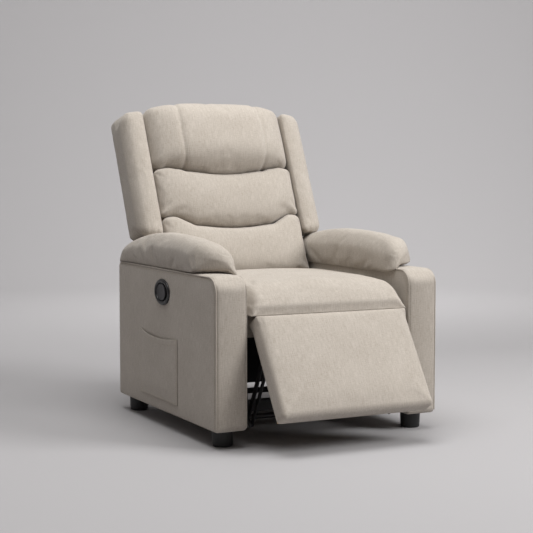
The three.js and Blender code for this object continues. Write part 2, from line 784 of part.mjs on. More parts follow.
// The footrest group's origin is the top front edge of its face; -Z runs down the face.
const footrest = new THREE.Group();
const faceDown = { y: -Math.sin(radians(footrestTilt)), z: -Math.cos(radians(footrestTilt)) };
const faceOut = { y: -Math.cos(radians(footrestTilt)), z: Math.sin(radians(footrestTilt)) };
const footrestTop = {
  y: carrierEnd.y - bracketPivotDown * faceDown.y + bracketPivotBehind * faceOut.y,
  z: carrierEnd.z - bracketPivotDown * faceDown.z + bracketPivotBehind * faceOut.z,
};
footrest.position.set(0, footrestTop.y, footrestTop.z);
footrest.rotation.x = -radians(footrestTilt);
chair.add(footrest);

function footrestPanel() {
  const half = footrestWidth / 2;
  const outline = roundedOutline([
    [0, 0, 14],
    [0, -footrestLength, 14],
    [footrestPadThickness, -footrestLength, 14],
    [footrestPadThickness, -2, 14],
  ]);
  place(footrest, 'footrest_pad', sideExtrusion(outline, -half, half, 8, 3), fabric());
  const boardFront = footrestPadThickness + touchGap;
  place(footrest, 'footrest_board', block(12 - half, half - 12, boardFront,
    boardFront + footrestBoardThickness, 10 - footrestLength, -10), plywood());
}

function footrestBracket({ name, sign }) {
  const front = footrestPadThickness + 2 * touchGap + footrestBoardThickness;
  const toLocal = ({ y, z }) => {
    const dy = y - footrestTop.y;
    const dz = z - footrestTop.z;
    return { y: -(dy * faceOut.y + dz * faceOut.z), z: -(dy * faceDown.y + dz * faceDown.z) };
  };
  const upper = toLocal(carrierEnd);
  const lower = toLocal(pushEnd);
  const eye = 12;
  const plate = sideExtrusion(roundedOutline([
    [front, upper.z + 60, 3],
    [front, lower.z - 60, 3],
    [front + 14, lower.z - 60, 4],
    [lower.y + eye, lower.z - eye, 8],
    [upper.y + eye, upper.z + eye, 8],
    [front + 14, upper.z + 60, 4],
  ]), ...layer(sign, bracketLayer));
  const flange = block(sign * (bracketLayer - 24), sign * bracketLayer, front, front + 3,
    lower.z - 60, upper.z + 60);
  const inner = sign * (bracketLayer - plateThickness - 1);
  const outer = sign * (bracketLayer + 1);
  const upperHole = rodAlongX(pinRadius + runningGap, inner, outer, upper.y, upper.z);
  const openHole = rodAlongX(pinRadius + 1, inner, outer, lower.y, lower.z);
  place(footrest, `footrest_bracket_${name}`, cut(join(plate, flange), upperHole, openHole),
    blackSteel());
}

function bridgeFlap() {
  const flap = block(-flapWidth / 2, flapWidth / 2, -flapLength, 0, -flapThickness / 2,
    flapThickness / 2);
  const mesh = place(chair, 'bridge_flap', flap, fabricBack());
  mesh.position.set(0, flapHinge.y, flapHinge.z);
  mesh.rotation.x = radians(flapRestAngle);
}

// ---- build ---------------------------------------------------------------------------------------
for (const side of sides) {
  armCover(side);
  armFrame(side);
  armPad(side);
  foot(side, 'front', footFrontInset);
  foot(side, 'rear', armDepth - footRearInset);
  baseRail(side);
  sidePlate(side);
  wing(side);
  linkage(side);
  footrestBracket(side);
}
crossMembers();
seatFrame();
for (let index = 0; index < springCount; index += 1) {
  seatSpring(index);
}
seatCushion();
handleBezel();
handlePaddle();
releaseCable();
releaseLatch();
sidePocket();
backFrame();
backCushions();
backRearPanel();
driveTube();
footrestPanel();
bridgeFlap();

chair.updateMatrixWorld(true);
const footprint = new THREE.Box3().setFromObject(chair, true);
chair.position.y = -(footprint.min.y + footprint.max.y) / 2;
chair.updateMatrixWorld(true);

export default chair;
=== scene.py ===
"""Recliner armchair in oatmeal chenille: the soft pieces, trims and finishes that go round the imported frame.

Run as a script. Lengths are in metres, in the frame's own axes: -Y is the front and +Z is up. A name's left
and right are those of someone who faces the chair: left is -X and right is +X.
"""

import json
import math

import bpy
import numpy as np
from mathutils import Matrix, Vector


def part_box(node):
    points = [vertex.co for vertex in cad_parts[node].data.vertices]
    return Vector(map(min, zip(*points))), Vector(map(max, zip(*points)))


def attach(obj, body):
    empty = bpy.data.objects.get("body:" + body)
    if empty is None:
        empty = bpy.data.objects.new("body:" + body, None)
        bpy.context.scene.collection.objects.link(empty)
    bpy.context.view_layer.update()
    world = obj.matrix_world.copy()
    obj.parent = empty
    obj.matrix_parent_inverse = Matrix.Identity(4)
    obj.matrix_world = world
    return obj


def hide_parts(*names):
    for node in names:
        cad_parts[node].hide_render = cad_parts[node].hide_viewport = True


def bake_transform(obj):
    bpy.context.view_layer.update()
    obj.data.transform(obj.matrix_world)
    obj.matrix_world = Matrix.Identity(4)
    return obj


bl_info = {
    "name": "Recliner armchair looks",
    "version": (1, 0, 0),
    "blender": (4, 5, 0),
    "location": "View3D > Sidebar > Recliner",
    "description": "Builds the upholstery, trims, materials and stage round the packed recliner frame",
    "category": "Object",
}

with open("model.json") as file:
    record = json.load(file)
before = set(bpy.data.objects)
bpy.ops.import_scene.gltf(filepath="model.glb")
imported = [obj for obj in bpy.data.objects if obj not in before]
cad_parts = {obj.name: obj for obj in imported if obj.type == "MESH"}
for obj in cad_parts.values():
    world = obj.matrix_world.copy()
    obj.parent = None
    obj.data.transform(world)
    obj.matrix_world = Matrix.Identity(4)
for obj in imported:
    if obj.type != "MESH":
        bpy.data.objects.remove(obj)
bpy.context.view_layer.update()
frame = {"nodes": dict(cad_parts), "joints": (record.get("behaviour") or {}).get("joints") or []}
NODES = frame["nodes"]

# ---- places taken from the frame ------------------------------------------------------------------

ARM_LOW, ARM_HIGH = (np.array(c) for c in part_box("arm_cover_right"))
BEZEL_LOW, BEZEL_HIGH = (np.array(c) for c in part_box("handle_bezel"))
POCKET_LOW, POCKET_HIGH = (np.array(c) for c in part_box("side_pocket"))
FRONT = ARM_LOW[1]
# The back's hinge and its lean at rest, and the footrest's upper edge and its tilt at rest.
BACK_PIVOT = next(np.array(joint["pos_m"]) for joint in frame["joints"] if joint["name"] == "back_recline")
BACK_LEAN = math.radians(24.65)
FOOTREST_TOP = np.array([0.0, FRONT - 0.0145, 0.3886])
FOOTREST_TILT = math.radians(32.6)


def deep(distance):
    """Y of a place that far behind the fronts of the arms."""
    return FRONT + distance


# ---- numpy shapes ---------------------------------------------------------------------------------


def smooth_step(t):
    """0 before t=0, 1 after t=1 and 3t^2 - 2t^3 between."""
    t = np.clip(t, 0.0, 1.0)
    return t * t * (3.0 - 2.0 * t)


def bump(x, centre, width):
    """A bell of height 1: exp(-((x - centre) / width)^2)."""
    return np.exp(-(((x - centre) / width) ** 2))


def unit(vectors):
    """The same directions with length 1."""
    return vectors / np.maximum(np.linalg.norm(vectors, axis=-1, keepdims=True), 1e-9)


def through(x, places, heights, soften=0.012):
    """A smooth line through a few points: straight runs between them, averaged over a short window."""
    offsets = np.linspace(-soften, soften, 7)
    return np.mean([np.interp(x + offset, places, heights) for offset in offsets], axis=0)


def lattice(cells):
    """The skin of a block of cells, as six grids of quads that share their border points.

    Returns each point's place in the block from -1 to 1, the quads turned outwards, and each quad's axis.
    """
    cells = np.array(cells)
    rings, axes = [], []
    for axis in range(3):
        p, q = [k for k in range(3) if k != axis]
        i, j = np.meshgrid(np.arange(cells[p]), np.arange(cells[q]), indexing="ij")
        for end in (0, 1):
            corners = []
            for step_p, step_q in ((0, 0), (1, 0), (1, 1), (0, 1)):
                corner = np.empty(i.shape + (3,), int)
                corner[..., axis] = end * cells[axis]
                corner[..., p] = i + step_p
                corner[..., q] = j + step_q
                corners.append(corner)
            ring = np.stack(corners, axis=-2).reshape(-1, 4, 3)
            if (axis == 1) == bool(end):
                ring = ring[:, ::-1]
            rings.append(ring)
            axes.append(np.full(len(ring), axis))
    rings = np.concatenate(rings)
    span = cells + 1
    codes = (rings[..., 0] * span[1] + rings[..., 1]) * span[2] + rings[..., 2]
    used, quads = np.unique(codes, return_inverse=True)
    quads = quads.reshape(-1, 4)
    steps = np.stack([used // (span[1] * span[2]), used // span[2] % span[1], used % span[2]], axis=1)
    return 2.0 * steps / cells - 1.0, quads, np.concatenate(axes)


def soft_block(cells, half, radius, crowding=0.8, stretch=(1.0, 1.0, 1.0)):
    """A block with rolled edges: each skin point q is moved to core + r * (q - core) / |q - core|.

    core is q held at least r inside every face. radius is r, or a function that gives it from the point's
    place a in the block, from -1 to 1. Points are closer together near the edges: a becomes
    sin(k a) / sin(k). The block is rolled while it is stretched and then let go, which makes r an oval.
    Returns the flat places q, the rolled points, the quads and the cloth's own lengthways and crossways
    measure at each quad's corners.
    """
    place, quads, axes = lattice(cells)
    half = np.array(half)
    stretch = np.array(stretch)
    turn = crowding * math.pi / 2
    spread = np.sin(place * turn) / math.sin(turn)
    flat = spread * half
    r = (radius(spread) if callable(radius) else np.full(len(flat), radius))[:, None]
    core = np.clip(flat * stretch, r - half * stretch, half * stretch - r)
    out = flat * stretch - core
    rolled = (core + r * out / np.linalg.norm(out, axis=1, keepdims=True)) / stretch
    measures = np.stack([np.where(axes == 0, 1, 0), np.where(axes == 2, 1, 2)], axis=1)
    weave = np.take_along_axis(flat[quads], measures[:, None].repeat(4, 1), 2)
    return flat, rolled, quads, weave


def lean_back(local):
    """From the back's own measures (x, rearwards v, up the back u) to the frame, round the recline hinge."""
    x, v, u = local[:, 0], local[:, 1], local[:, 2]
    y = BACK_PIVOT[1] + u * math.sin(BACK_LEAN) + v * math.cos(BACK_LEAN)
    z = BACK_PIVOT[2] + u * math.cos(BACK_LEAN) - v * math.sin(BACK_LEAN)
    return np.stack([x, y, z], axis=1)


def ring_skin(rings, close_first=True, close_last=True):
    """Quads between rings of equal counts, (rings, around, 3), with an end closed on its middle point."""
    count, around = rings.shape[:2]
    points = [rings.reshape(-1, 3)]
    k, a = np.meshgrid(np.arange(count - 1), np.arange(around), indexing="ij")
    b = (a + 1) % around
    quads = np.stack([k * around + a, k * around + b, (k + 1) * around + b, (k + 1) * around + a], -1)
    faces = [tuple(face) for face in quads.reshape(-1, 4).tolist()]
    turn = np.arange(around)
    total = count * around
    if close_first:
        points.append(rings[0].mean(0)[None])
        faces += [(total, (i + 1) % around, i) for i in turn.tolist()]
        total += 1
    if close_last:
        points.append(rings[-1].mean(0)[None])
        first = (count - 1) * around
        faces += [(total, first + i, first + (i + 1) % around) for i in turn.tolist()]
    return np.concatenate(points), faces


def cord_form(path, radius, sides=8):
    """A round cord along a path: centre + r (cos t * first + sin t * second).

    first and second are square to the path and to each other, and don't twist more than the path.
    """
    tangent = unit(np.gradient(path, axis=0))
    side = np.zeros(3)
    side[int(np.argmin(np.ptp(path, axis=0)))] = 1.0
    first = unit(np.cross(tangent, side))
    second = np.cross(tangent, first)
    t = np.linspace(0, 2 * math.pi, sides, endpoint=False)
    ring = np.cos(t)[None, :, None] * first[:, None] + np.sin(t)[None, :, None] * second[:, None]
    return ring_skin(path[:, None] + radius * ring)


def evenly(path, spacing):
    """The same line with its points a fixed distance apart."""
    length = np.concatenate([[0], np.cumsum(np.linalg.norm(np.diff(path, axis=0), axis=1))])
    count = max(4, int(round(length[-1] / spacing)))
    at = np.linspace(0, length[-1], count + 1)
    return np.stack([np.interp(at, length, path[:, k]) for k in range(3)], axis=1)


def stitch_rows(path, outward, length=0.0042, gap=0.0018, radius=0.00055):
    """Topstitching: one short pointed bead of thread for every step along a path, lying on the cloth.

    Each bead is a hexagonal spindle, fattest at its middle: radius * (1 - |s|^3) at s from -1 to 1.
    """
    centres = evenly(path, length + gap)
    tangent = unit(np.gradient(centres, axis=0))
    outward = np.broadcast_to(outward, centres.shape)
    side = unit(np.cross(tangent, outward))
    s = np.array([-1.0, -0.6, 0.6, 1.0])
    t = np.linspace(0, 2 * math.pi, 6, endpoint=False)
    fat = radius * (1.05 - np.abs(s) ** 3)
    local = (
        centres[:, None, None]
        + tangent[:, None, None] * (s * length / 2)[None, :, None, None]
        + side[:, None, None] * (fat[:, None] * np.cos(t))[None, :, :, None]
        + outward[:, None, None] * (fat[:, None] * np.sin(t))[None, :, :, None]
    )
    single = local.shape[1] * local.shape[2]
    k, a = np.meshgrid(np.arange(3), np.arange(6), indexing="ij")
    b = (a + 1) % 6
    quads = np.stack([k * 6 + a, (k + 1) * 6 + a, (k + 1) * 6 + b, k * 6 + b], -1).reshape(-1, 4)
    quads = (quads[None] + (np.arange(len(centres)) * single)[:, None, None]).reshape(-1, 4)
    starts = (np.arange(len(centres)) * single)[:, None]
    caps = np.concatenate([starts + np.arange(6)[None], starts + 18 + np.arange(6)[None, ::-1]])
    return local.reshape(-1, 3), [tuple(f) for f in quads.tolist() + caps.tolist()]


# ---- meshes ---------------------------------------------------------------------------------------


def link_mesh(name, points, faces, material, weave=None):
    """A mesh object from arrays, at the origin, with the cloth's measure as its UV map."""
    mesh = bpy.data.meshes.new(name)
    mesh.from_pydata(points.tolist(), [], faces.tolist() if isinstance(faces, np.ndarray) else faces)
    if weave is not None:
        layer = mesh.uv_layers.new(name="weave")
        layer.data.foreach_set("uv", weave.reshape(-1).astype(np.float32))
    mesh.polygons.foreach_set("use_smooth", np.ones(len(mesh.polygons), bool))
    mesh.materials.append(material)
    mesh.validate()
    mesh.update()
    piece = bpy.data.objects.new(name, mesh)
    bpy.context.scene.collection.objects.link(piece)
    return piece


def points_of(mesh):
    points = np.zeros(len(mesh.vertices) * 3, np.float32)
    mesh.vertices.foreach_get("co", points)
    return points.reshape(-1, 3).astype(float)


def set_points(mesh, points):
    mesh.vertices.foreach_set("co", points.astype(np.float32).ravel())
    mesh.update()


def bake_modifiers(piece):
    """Makes the piece's live modifiers part of its mesh."""
    shown = piece.evaluated_get(bpy.context.evaluated_depsgraph_get())
    mesh = bpy.data.meshes.new_from_object(shown)
    piece.modifiers.clear()
    piece.vertex_groups.clear()
    piece.data = mesh


def stuff(piece, held, cap, pressure=4.0, slack=0.0, frames=20):
    """Cloth simulation of the filling: pressure blows the skin up while its held points keep still.

    No point ends more than cap from where it started, by d * tanh(|d| / cap) * cap / |d|. slack is the
    share by which the cloth is cut larger than the form, which lets it gather along its seams.
    """
    start = points_of(piece.data)
    group = piece.vertex_groups.new(name="held")
    group.add(np.flatnonzero(held).tolist(), 1.0, "REPLACE")
    cloth = piece.modifiers.new("filling", "CLOTH")
    cloth.settings.use_pressure = True
    cloth.settings.uniform_pressure_force = pressure
    cloth.settings.effector_weights.gravity = 0.0
    cloth.settings.vertex_group_mass = "held"
    cloth.settings.quality = 5
    cloth.settings.shrink_min = -slack
    cloth.settings.bending_stiffness = 2.0
    cloth.point_cache.frame_start = 1
    cloth.point_cache.frame_end = frames
    for step in range(1, frames + 1):
        bpy.context.scene.frame_set(step)
    shown = piece.evaluated_get(bpy.context.evaluated_depsgraph_get())
    moved = points_of(shown.data) - start
    piece.modifiers.remove(cloth)
    piece.vertex_groups.clear()
    bpy.context.scene.frame_set(1)
    far = np.maximum(np.linalg.norm(moved, axis=1, keepdims=True), 1e-9)
    set_points(piece.data, start + moved * np.tanh(far / cap) * cap / far)


def finish_skin(piece, channels=None):
    """One subdivision, then seams and channels pressed in along the skin's own normals."""
    subdivision = piece.modifiers.new("skin", "SUBSURF")
    subdivision.levels = subdivision.render_levels = 1
    bake_modifiers(piece)
    if channels is None:
        return
    points = points_of(piece.data)
    normals = np.zeros(len(points) * 3, np.float32)
    piece.data.vertex_normals.foreach_get("vector", normals)
    set_points(piece.data, points + normals.reshape(-1, 3) * channels(points)[:, None])


def mirrored_copy(piece, name):
    """The same piece on the other side of the chair: x turned to -x, with its faces turned back out."""
    mesh = piece.data.copy()
    mesh.name = name
    points = points_of(mesh)
    points[:, 0] *= -1.0
    mesh.flip_normals()
    set_points(mesh, points)
    twin = bpy.data.objects.new(name, mesh)
    bpy.context.scene.collection.objects.link(twin)
    return twin


def place_on(piece, body, slot, *nodes):
    """Rides on a body and stands for the CAD nodes it is named with; its slot is not used."""
    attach(piece, body)
    if nodes:
        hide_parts(*nodes)
    return piece


def cushion(piece, body, node):
    """A padded piece in the upholstery cloth that stands for one CAD node."""
    place_on(piece, body, "upholstery_fabric", node)


# ---- materials ------------------------------------------------------------------------------------


def linear(code, alpha=1.0):
    """An sRGB hex colour as linear red, green, blue and alpha."""
    channels = [int(code[i : i + 2], 16) / 255 for i in (1, 3, 5)]
    curve = [c / 12.92 if c <= 0.04045 else ((c + 0.055) / 1.055) ** 2.4 for c in channels]
    return (*curve, alpha)


def add_node(tree, kind, settings=None, values=None, links=None):
    """Adds a node to a tree with its settings, its sockets' values and the sockets that feed it."""
    node = tree.nodes.new(kind)
    for name, value in (settings or {}).items():
        setattr(node, name, value)
    for socket, value in (values or {}).items():
        node.inputs[socket].default_value = value
    for socket, source in (links or {}).items():
        tree.links.new(source, node.inputs[socket])
    return node


def new_material(name, shader_values):
    """An empty node material with one Principled shader; returns it with its tree and shader."""
    material = bpy.data.materials.new(name)
    material.use_nodes = True
    tree = material.node_tree
    tree.nodes.clear()
    shader = add_node(tree, "ShaderNodeBsdfPrincipled", values=shader_values)
    add_node(tree, "ShaderNodeOutputMaterial", links={"Surface": shader.outputs["BSDF"]})
    return material, tree, shader


def waves(tree, measure, direction, spacing, distortion):
    """Wavering bands across X or Y, one for every spacing metres: a Wave scale of pi / (10 spacing)."""
    return add_node(
        tree,
        "ShaderNodeTexWave",
        {"bands_direction": direction},
        {"Scale": math.pi / (10 * spacing), "Distortion": distortion, "Detail": 2.0, "Detail Scale": 1.6},
        {"Vector": measure},
    ).outputs["Fac"]


def noise(tree, measure, scale, detail, roughness):
    """A soft noise of that many grains to the metre."""
    values = {"Scale": scale, "Detail": detail, "Roughness": roughness}
    return add_node(tree, "ShaderNodeTexNoise", values=values, links={"Vector": measure}).outputs["Fac"]


def drawn_out(tree, measure, scale):
    """The measure counted in lengths of its own along each axis."""
    values = {"Scale": scale}
    return add_node(tree, "ShaderNodeMapping", values=values, links={"Vector": measure}).outputs["Vector"]


def blended(tree, factor, first, second):
    """One value that is (1 - factor) of the first and factor of the second."""
    links = {"A": first, "B": second}
    mix = add_node(tree, "ShaderNodeMix", {"data_type": "FLOAT"}, {"Factor": factor}, links)
    return mix.outputs["Result"]


def two_tones(tree, shader, level, dark, light, dark_at, light_at):
    """Colours the shader from dark to light as a level rises from one place to another."""
    ramp = add_node(tree, "ShaderNodeValToRGB", links={"Fac": level})
    for element, place, tone in zip(ramp.color_ramp.elements, (dark_at, light_at), (dark, light)):
        element.position = place
        element.color = linear(tone)
    tree.links.new(ramp.outputs["Color"], shader.inputs["Base Color"])


def raise_relief(tree, shader, height, strength, depth):
    """Turns the shader's normals by a height of at most depth metres."""
    values = {"Strength": strength, "Distance": depth}
    lifted = add_node(tree, "ShaderNodeBump", values=values, links={"Height": height})
    tree.links.new(lifted.outputs["Normal"], shader.inputs["Normal"])


def chenille(name, light, dark, thread, slub_length, on_uv=True):
    """Woven polyester chenille: soft matt pile with lighter and darker yarns, slubs that run up the cloth.

    The real yarns are 0.8 mm apart; they are drawn at the width given by thread so that they show.
    """
    pile_look = {"Roughness": 0.93, "Sheen Weight": 0.22, "Sheen Roughness": 0.55}
    material, tree, shader = new_material(name, {**pile_look, "Specular IOR Level": 0.18})
    if on_uv:
        measure = add_node(tree, "ShaderNodeUVMap", {"uv_map": "weave"}).outputs["UV"]
    else:
        coordinate = add_node(tree, "ShaderNodeTexCoord")
        quarter_turn = {"Rotation": (math.radians(90), 0, 0)}
        upright = {"Vector": coordinate.outputs["Object"]}
        measure = add_node(tree, "ShaderNodeMapping", values=quarter_turn, links=upright).outputs["Vector"]
    warp = waves(tree, measure, "X", thread, 2.2)
    weft = waves(tree, measure, "Y", thread * 0.8, 2.6)
    slub_grid = drawn_out(tree, measure, (1 / (thread * 1.7), 1 / slub_length, 1.0))
    pick_grid = drawn_out(tree, measure, (1 / (slub_length * 0.45), 1 / (thread * 1.3), 1.0))
    slubs = noise(tree, slub_grid, 1.0, 3.0, 0.6)
    picks = noise(tree, pick_grid, 1.0, 2.0, 0.6)
    pile = noise(tree, measure, 1 / (thread * 1.1), 4.0, 0.7)
    shading = noise(tree, measure, 9.0, 3.0, 0.5)
    yarns = add_node(tree, "ShaderNodeMath", {"operation": "MULTIPLY"}, links={0: warp, 1: weft}).outputs[0]
    fuzzy = blended(tree, 0.4, blended(tree, 0.42, slubs, picks), pile)
    two_tones(tree, shader, blended(tree, 0.12, fuzzy, shading), dark, light, 0.36, 0.63)
    raise_relief(tree, shader, blended(tree, 0.6, yarns, fuzzy), 0.55, 0.0014)
    return material


def speckled(name, light, dark, grain, values, strength=0.25, stretch=(1.0, 1.0, 1.0)):
    """A moulded, coated or spun surface: two close tones and a fine relief, both from one noise.

    grain is the size in metres of the texture's grains; stretch draws them out along an axis.
    """
    material, tree, shader = new_material(name, values)
    coordinate = add_node(tree, "ShaderNodeTexCoord").outputs["Object"]
    grains = noise(tree, drawn_out(tree, coordinate, tuple(s / grain for s in stretch)), 1.0, 4.0, 0.6)
    two_tones(tree, shader, grains, dark, light, 0.38, 0.64)
    raise_relief(tree, shader, grains, strength, grain * 0.25)
    return material


# Each finish besides the cloth: its name, light and dark tones, the size of its grains, its shader's values,
# the strength of its relief and how its grains are drawn out.
ALONG_SHEET = (0.12, 1.0, 1.6)
OTHER_FINISHES = {
    # Spun polyester thread, a little darker than the cloth, with a faint twist.
    "sewing_thread": ("polyester sewing thread", "#B5A898", "#948672", 0.0012, {"Roughness": 0.7}),
    # Woven polypropylene webbing: dull black bands with a slight lengthways shine.
    "webbing": (
        "black polypropylene webbing", "#26262A", "#131315", 0.003,
        {"Roughness": 0.75}, 0.5, (0.2, 1.0, 3.0),
    ),
    # Birch plywood, sanded and left bare: pale with long darker grain.
    "plywood": (
        "sanded birch plywood", "#C9AE84", "#A98A5E", 0.012, {"Roughness": 0.68}, 0.2, ALONG_SHEET,
    ),
    # The rear board is coloured black as painted shade: it stands for the shadow between the arms, so that it
    # doesn't show there.
    "shade_black_plywood": (
        "plywood painted black for shade", "#1E1C1A", "#121110", 0.012, {"Roughness": 0.7}, 0.2, ALONG_SHEET,
    ),
    # A black, matt sheet with a fine fibrous surface: painted shade for the dark hollow under the seat's rear.
    "painted_shade_sheet": ("black sheet of painted shade", "#1C1C1D", "#0E0E0F", 0.002, {"Roughness": 0.95}, 0.3),
    # Powder-coated pressed steel: satin black with a fine orange peel.
    "black_steel": (
        "black powder-coated steel", "#1B1B1D", "#0F0F10", 0.0016,
        {"Roughness": 0.46, "Metallic": 0.15, "Coat Weight": 0.12, "Coat Roughness": 0.35}, 0.3,
    ),
    # Oil-tempered spring wire: dark bright metal with faint drawing lines.
    "spring_steel": (
        "oil-tempered spring steel", "#6A6865", "#45433F", 0.002, {"Roughness": 0.36, "Metallic": 1.0}, 0.15,
    ),
    # Moulded polypropylene: near black, slightly waxy, spark-eroded grain.
    "foot_plastic": (
        "moulded polypropylene", "#232323", "#151515", 0.0014, {"Roughness": 0.5, "IOR": 1.49}, 0.35,
    ),
    # Injection-moulded ABS: satin black with a fine grain and a soft highlight on its rim.
    "handle_plastic": (
        "moulded ABS bezel", "#1A1A1B", "#111112", 0.0012, {"Roughness": 0.34, "IOR": 1.53}, 0.12,
    ),
    # The paddle is of the same plastic, moulded in dark grey.
    "paddle_plastic": (
        "moulded ABS paddle", "#39393B", "#2B2B2D", 0.0012, {"Roughness": 0.42, "IOR": 1.53}, 0.15,
    ),
    # Extruded PVC cable sheath: smooth, a little glossy.
    "cable_sheath": (
        "extruded PVC sheath", "#1C1C1C", "#131313", 0.004,
        {"Roughness": 0.4, "IOR": 1.53}, 0.05, (1.0, 1.0, 0.2),
    ),
}
MATERIALS = {}


def make_materials():
    """Every finish of the chair, by the short name that the operators use for it."""
    colours = bpy.context.scene.recliner_colours
    sizes = bpy.context.scene.recliner_sizes
    cloth = colours.cloth_light, colours.cloth_dark, sizes.thread_spacing, sizes.slub_length
    MATERIALS["upholstery_fabric"] = chenille("oatmeal chenille", *cloth)
    # The same cloth, cut for the parts behind and underneath.
    MATERIALS["lining_fabric"] = chenille("oatmeal lining cloth", *cloth)
    # And laid over frame parts that have no cloth measure of their own, by where they stand.
    MATERIALS["wrapped_fabric"] = chenille("oatmeal chenille over a rail", *cloth, on_uv=False)
    for short_name, finish in OTHER_FINISHES.items():
        MATERIALS[short_name] = speckled(*finish)


# ---- shapes of the soft pieces --------------------------------------------------------------------

SIDES = (("left", -1.0), ("right", 1.0))
HEAD_SEAM = 0.152
BACK_HALF_WIDTH = 0.2605
SECTION_HALF_HEIGHT = 0.115
GROOVE_PLACES = (0.0, 0.06, 0.146, 0.172, 0.214, 0.262)
UPPER_GROOVE = (0.4325, 0.4355, 0.4470, 0.4530, 0.4580, 0.4500)
LOWER_GROOVE = (0.2320, 0.2345, 0.2440, 0.2560, 0.2790, 0.2740)


def groove_height(x, heights):
    """How far up the back a groove runs at x: a smile in the middle that lifts over a hump at each side."""
    return through(np.abs(x), GROOVE_PLACES, heights)


def back_section(name, low, high, front, crown, rear, radius, cells, squareness, set_back):
    """One channel of the back: a soft block whose ends follow low(x) and high(x) up the back.

    Its front swells by crown * (1 - |t|^squareness) * (1 - |x / half|^3.4), with t from -1 to 1 between its
    ends, and its sides lie further back by set_back * |x / half|^5.
    """
    half_v = (rear - front) / 2
    flat, rolled, quads, weave = soft_block(cells, (BACK_HALF_WIDTH, half_v, SECTION_HALF_HEIGHT), radius)
    t = rolled[:, 2] / SECTION_HALF_HEIGHT
    x = rolled[:, 0]
    aside = np.abs(x / BACK_HALF_WIDTH)
    u = low(x) + (high(x) - low(x)) * (t + 1) / 2
    facing = (1 - rolled[:, 1] / half_v) / 2
    swell = crown * (1 - np.clip(np.abs(t), 0, 1) ** squareness) * (1 - aside**3.4) - set_back * aside**5
    v = (rear + front) / 2 + rolled[:, 1] - facing * swell
    piece = link_mesh(name, lean_back(np.stack([x, v, u], 1)), quads, MATERIALS["upholstery_fabric"], weave)
    return piece, flat


def back_measures(points):
    """From the frame to the back's own measures: x, rearwards v and up the back u."""
    y, z = points[:, 1] - BACK_PIVOT[1], points[:, 2] - BACK_PIVOT[2]
    sine, cosine = math.sin(BACK_LEAN), math.cos(BACK_LEAN)
    return points[:, 0], y * cosine - z * sine, y * sine + z * cosine


def pad_profile(y):
    """Height of the arm pad's top from its nose to its rear, by distance behind the arms' fronts."""
    places = (0.074, 0.082, 0.103, 0.15, 0.24, 0.333, 0.463, 0.582, 0.648, 0.69, 0.736, 0.773, 0.79)
    heights = (0.546, 0.566, 0.580, 0.597, 0.607, 0.611, 0.611, 0.602, 0.593, 0.585, 0.572, 0.552, 0.52)
    return through(y, places, heights, 0.01)


def rounded_corner(y, z, corner_y, corner_z, reach, sign_y, sign_z):
    """Turns a square corner into an arc: (p, q) becomes (p sqrt(1 - q^2/2), q sqrt(1 - p^2/2)).

    p and q run from 0, a reach inside the corner, to 1 at its two edges.
    """
    p = sign_y * (y - corner_y) / reach + 1
    q = sign_z * (z - corner_z) / reach + 1
    inside = (p > 0) & (q > 0)
    p_in, q_in = np.clip(p, 0, 1.2), np.clip(q, 0, 1.2)
    new_y = corner_y + sign_y * reach * (p_in * np.sqrt(1 - q_in**2 / 2) - 1)
    new_z = corner_z + sign_z * reach * (q_in * np.sqrt(1 - p_in**2 / 2) - 1)
    return np.where(inside, new_y, y), np.where(inside, new_z, z)


def arm_outline(y, z):
    """The arm box's side outline: a big arc at the top front, small ones at its other corners."""
    low_y, high_y = ARM_LOW[1] + 0.001, ARM_HIGH[1] - 0.002
    low_z, high_z = ARM_LOW[2], ARM_HIGH[2] + 0.001
    y, z = rounded_corner(y, z, low_y, high_z, 0.046, -1, 1)
    y, z = rounded_corner(y, z, high_y, high_z, 0.022, 1, 1)
    y, z = rounded_corner(y, z, low_y, low_z, 0.012, -1, -1)
    return rounded_corner(y, z, high_y, low_z, 0.012, 1, -1)


# ---- settings -------------------------------------------------------------------------------------


def length(label, meaning, default):
    """A length in metres that a user may change."""
    return bpy.props.FloatProperty(name=label, description=meaning, default=default, unit="LENGTH")


def colour(label, meaning, default):
    """A colour that a user may change, as sRGB hex."""
    return bpy.props.StringProperty(name=label, description=meaning, default=default)


class ReclinerSizes(bpy.types.PropertyGroup):
    """Sizes of the upholstery that a user may change."""

    thread_spacing: length("Yarn width", "Width that one yarn is drawn with", 0.0019)
    slub_length: length("Slub length", "Length of a thick place in a yarn", 0.030)
    seam_depth: length("Seam depth", "How deep a sewn seam pulls the cloth in", 0.0035)
    seat_crown: length("Seat crown", "Rise of the seat's middle over its sides", 0.014)
    back_crown: length("Back crown", "Swell of each channel of the back", 0.018)
    swell_cap: length("Swell", "Scale of the most that the filling may push a point out", 0.012)


class ReclinerColours(bpy.types.PropertyGroup):
    """Colours of the upholstery and the stage, as sRGB hex."""

    cloth_light: colour("Light yarn", "Colour of the lighter yarns", "#C1B9AF")
    cloth_dark: colour("Dark yarn", "Colour of the darker yarns", "#9C9286")
    floor: colour("Floor", "Colour of the studio floor", "#A8A6A7")


# ---- operators ------------------------------------------------------------------------------------


class RECLINER_OT_camera(bpy.types.Operator):
    """Sets the camera in front of the chair's left arm, a little above seat height."""

    bl_idname = "recliner.camera"
    bl_label = "Camera"

    def execute(self, context):
        looking_down, turned = math.radians(4.317), math.radians(26.83)
        data = bpy.data.cameras.new("camera")
        data.sensor_width = 36.0
        data.lens = 90.7
        camera = bpy.data.objects.new("camera", data)
        context.scene.collection.objects.link(camera)
        camera.location = (-1.9804, -3.8746, 0.8265)
        camera.rotation_euler = (math.pi / 2 - looking_down, 0.0, -turned)
        context.scene.camera = camera
        return {"FINISHED"}


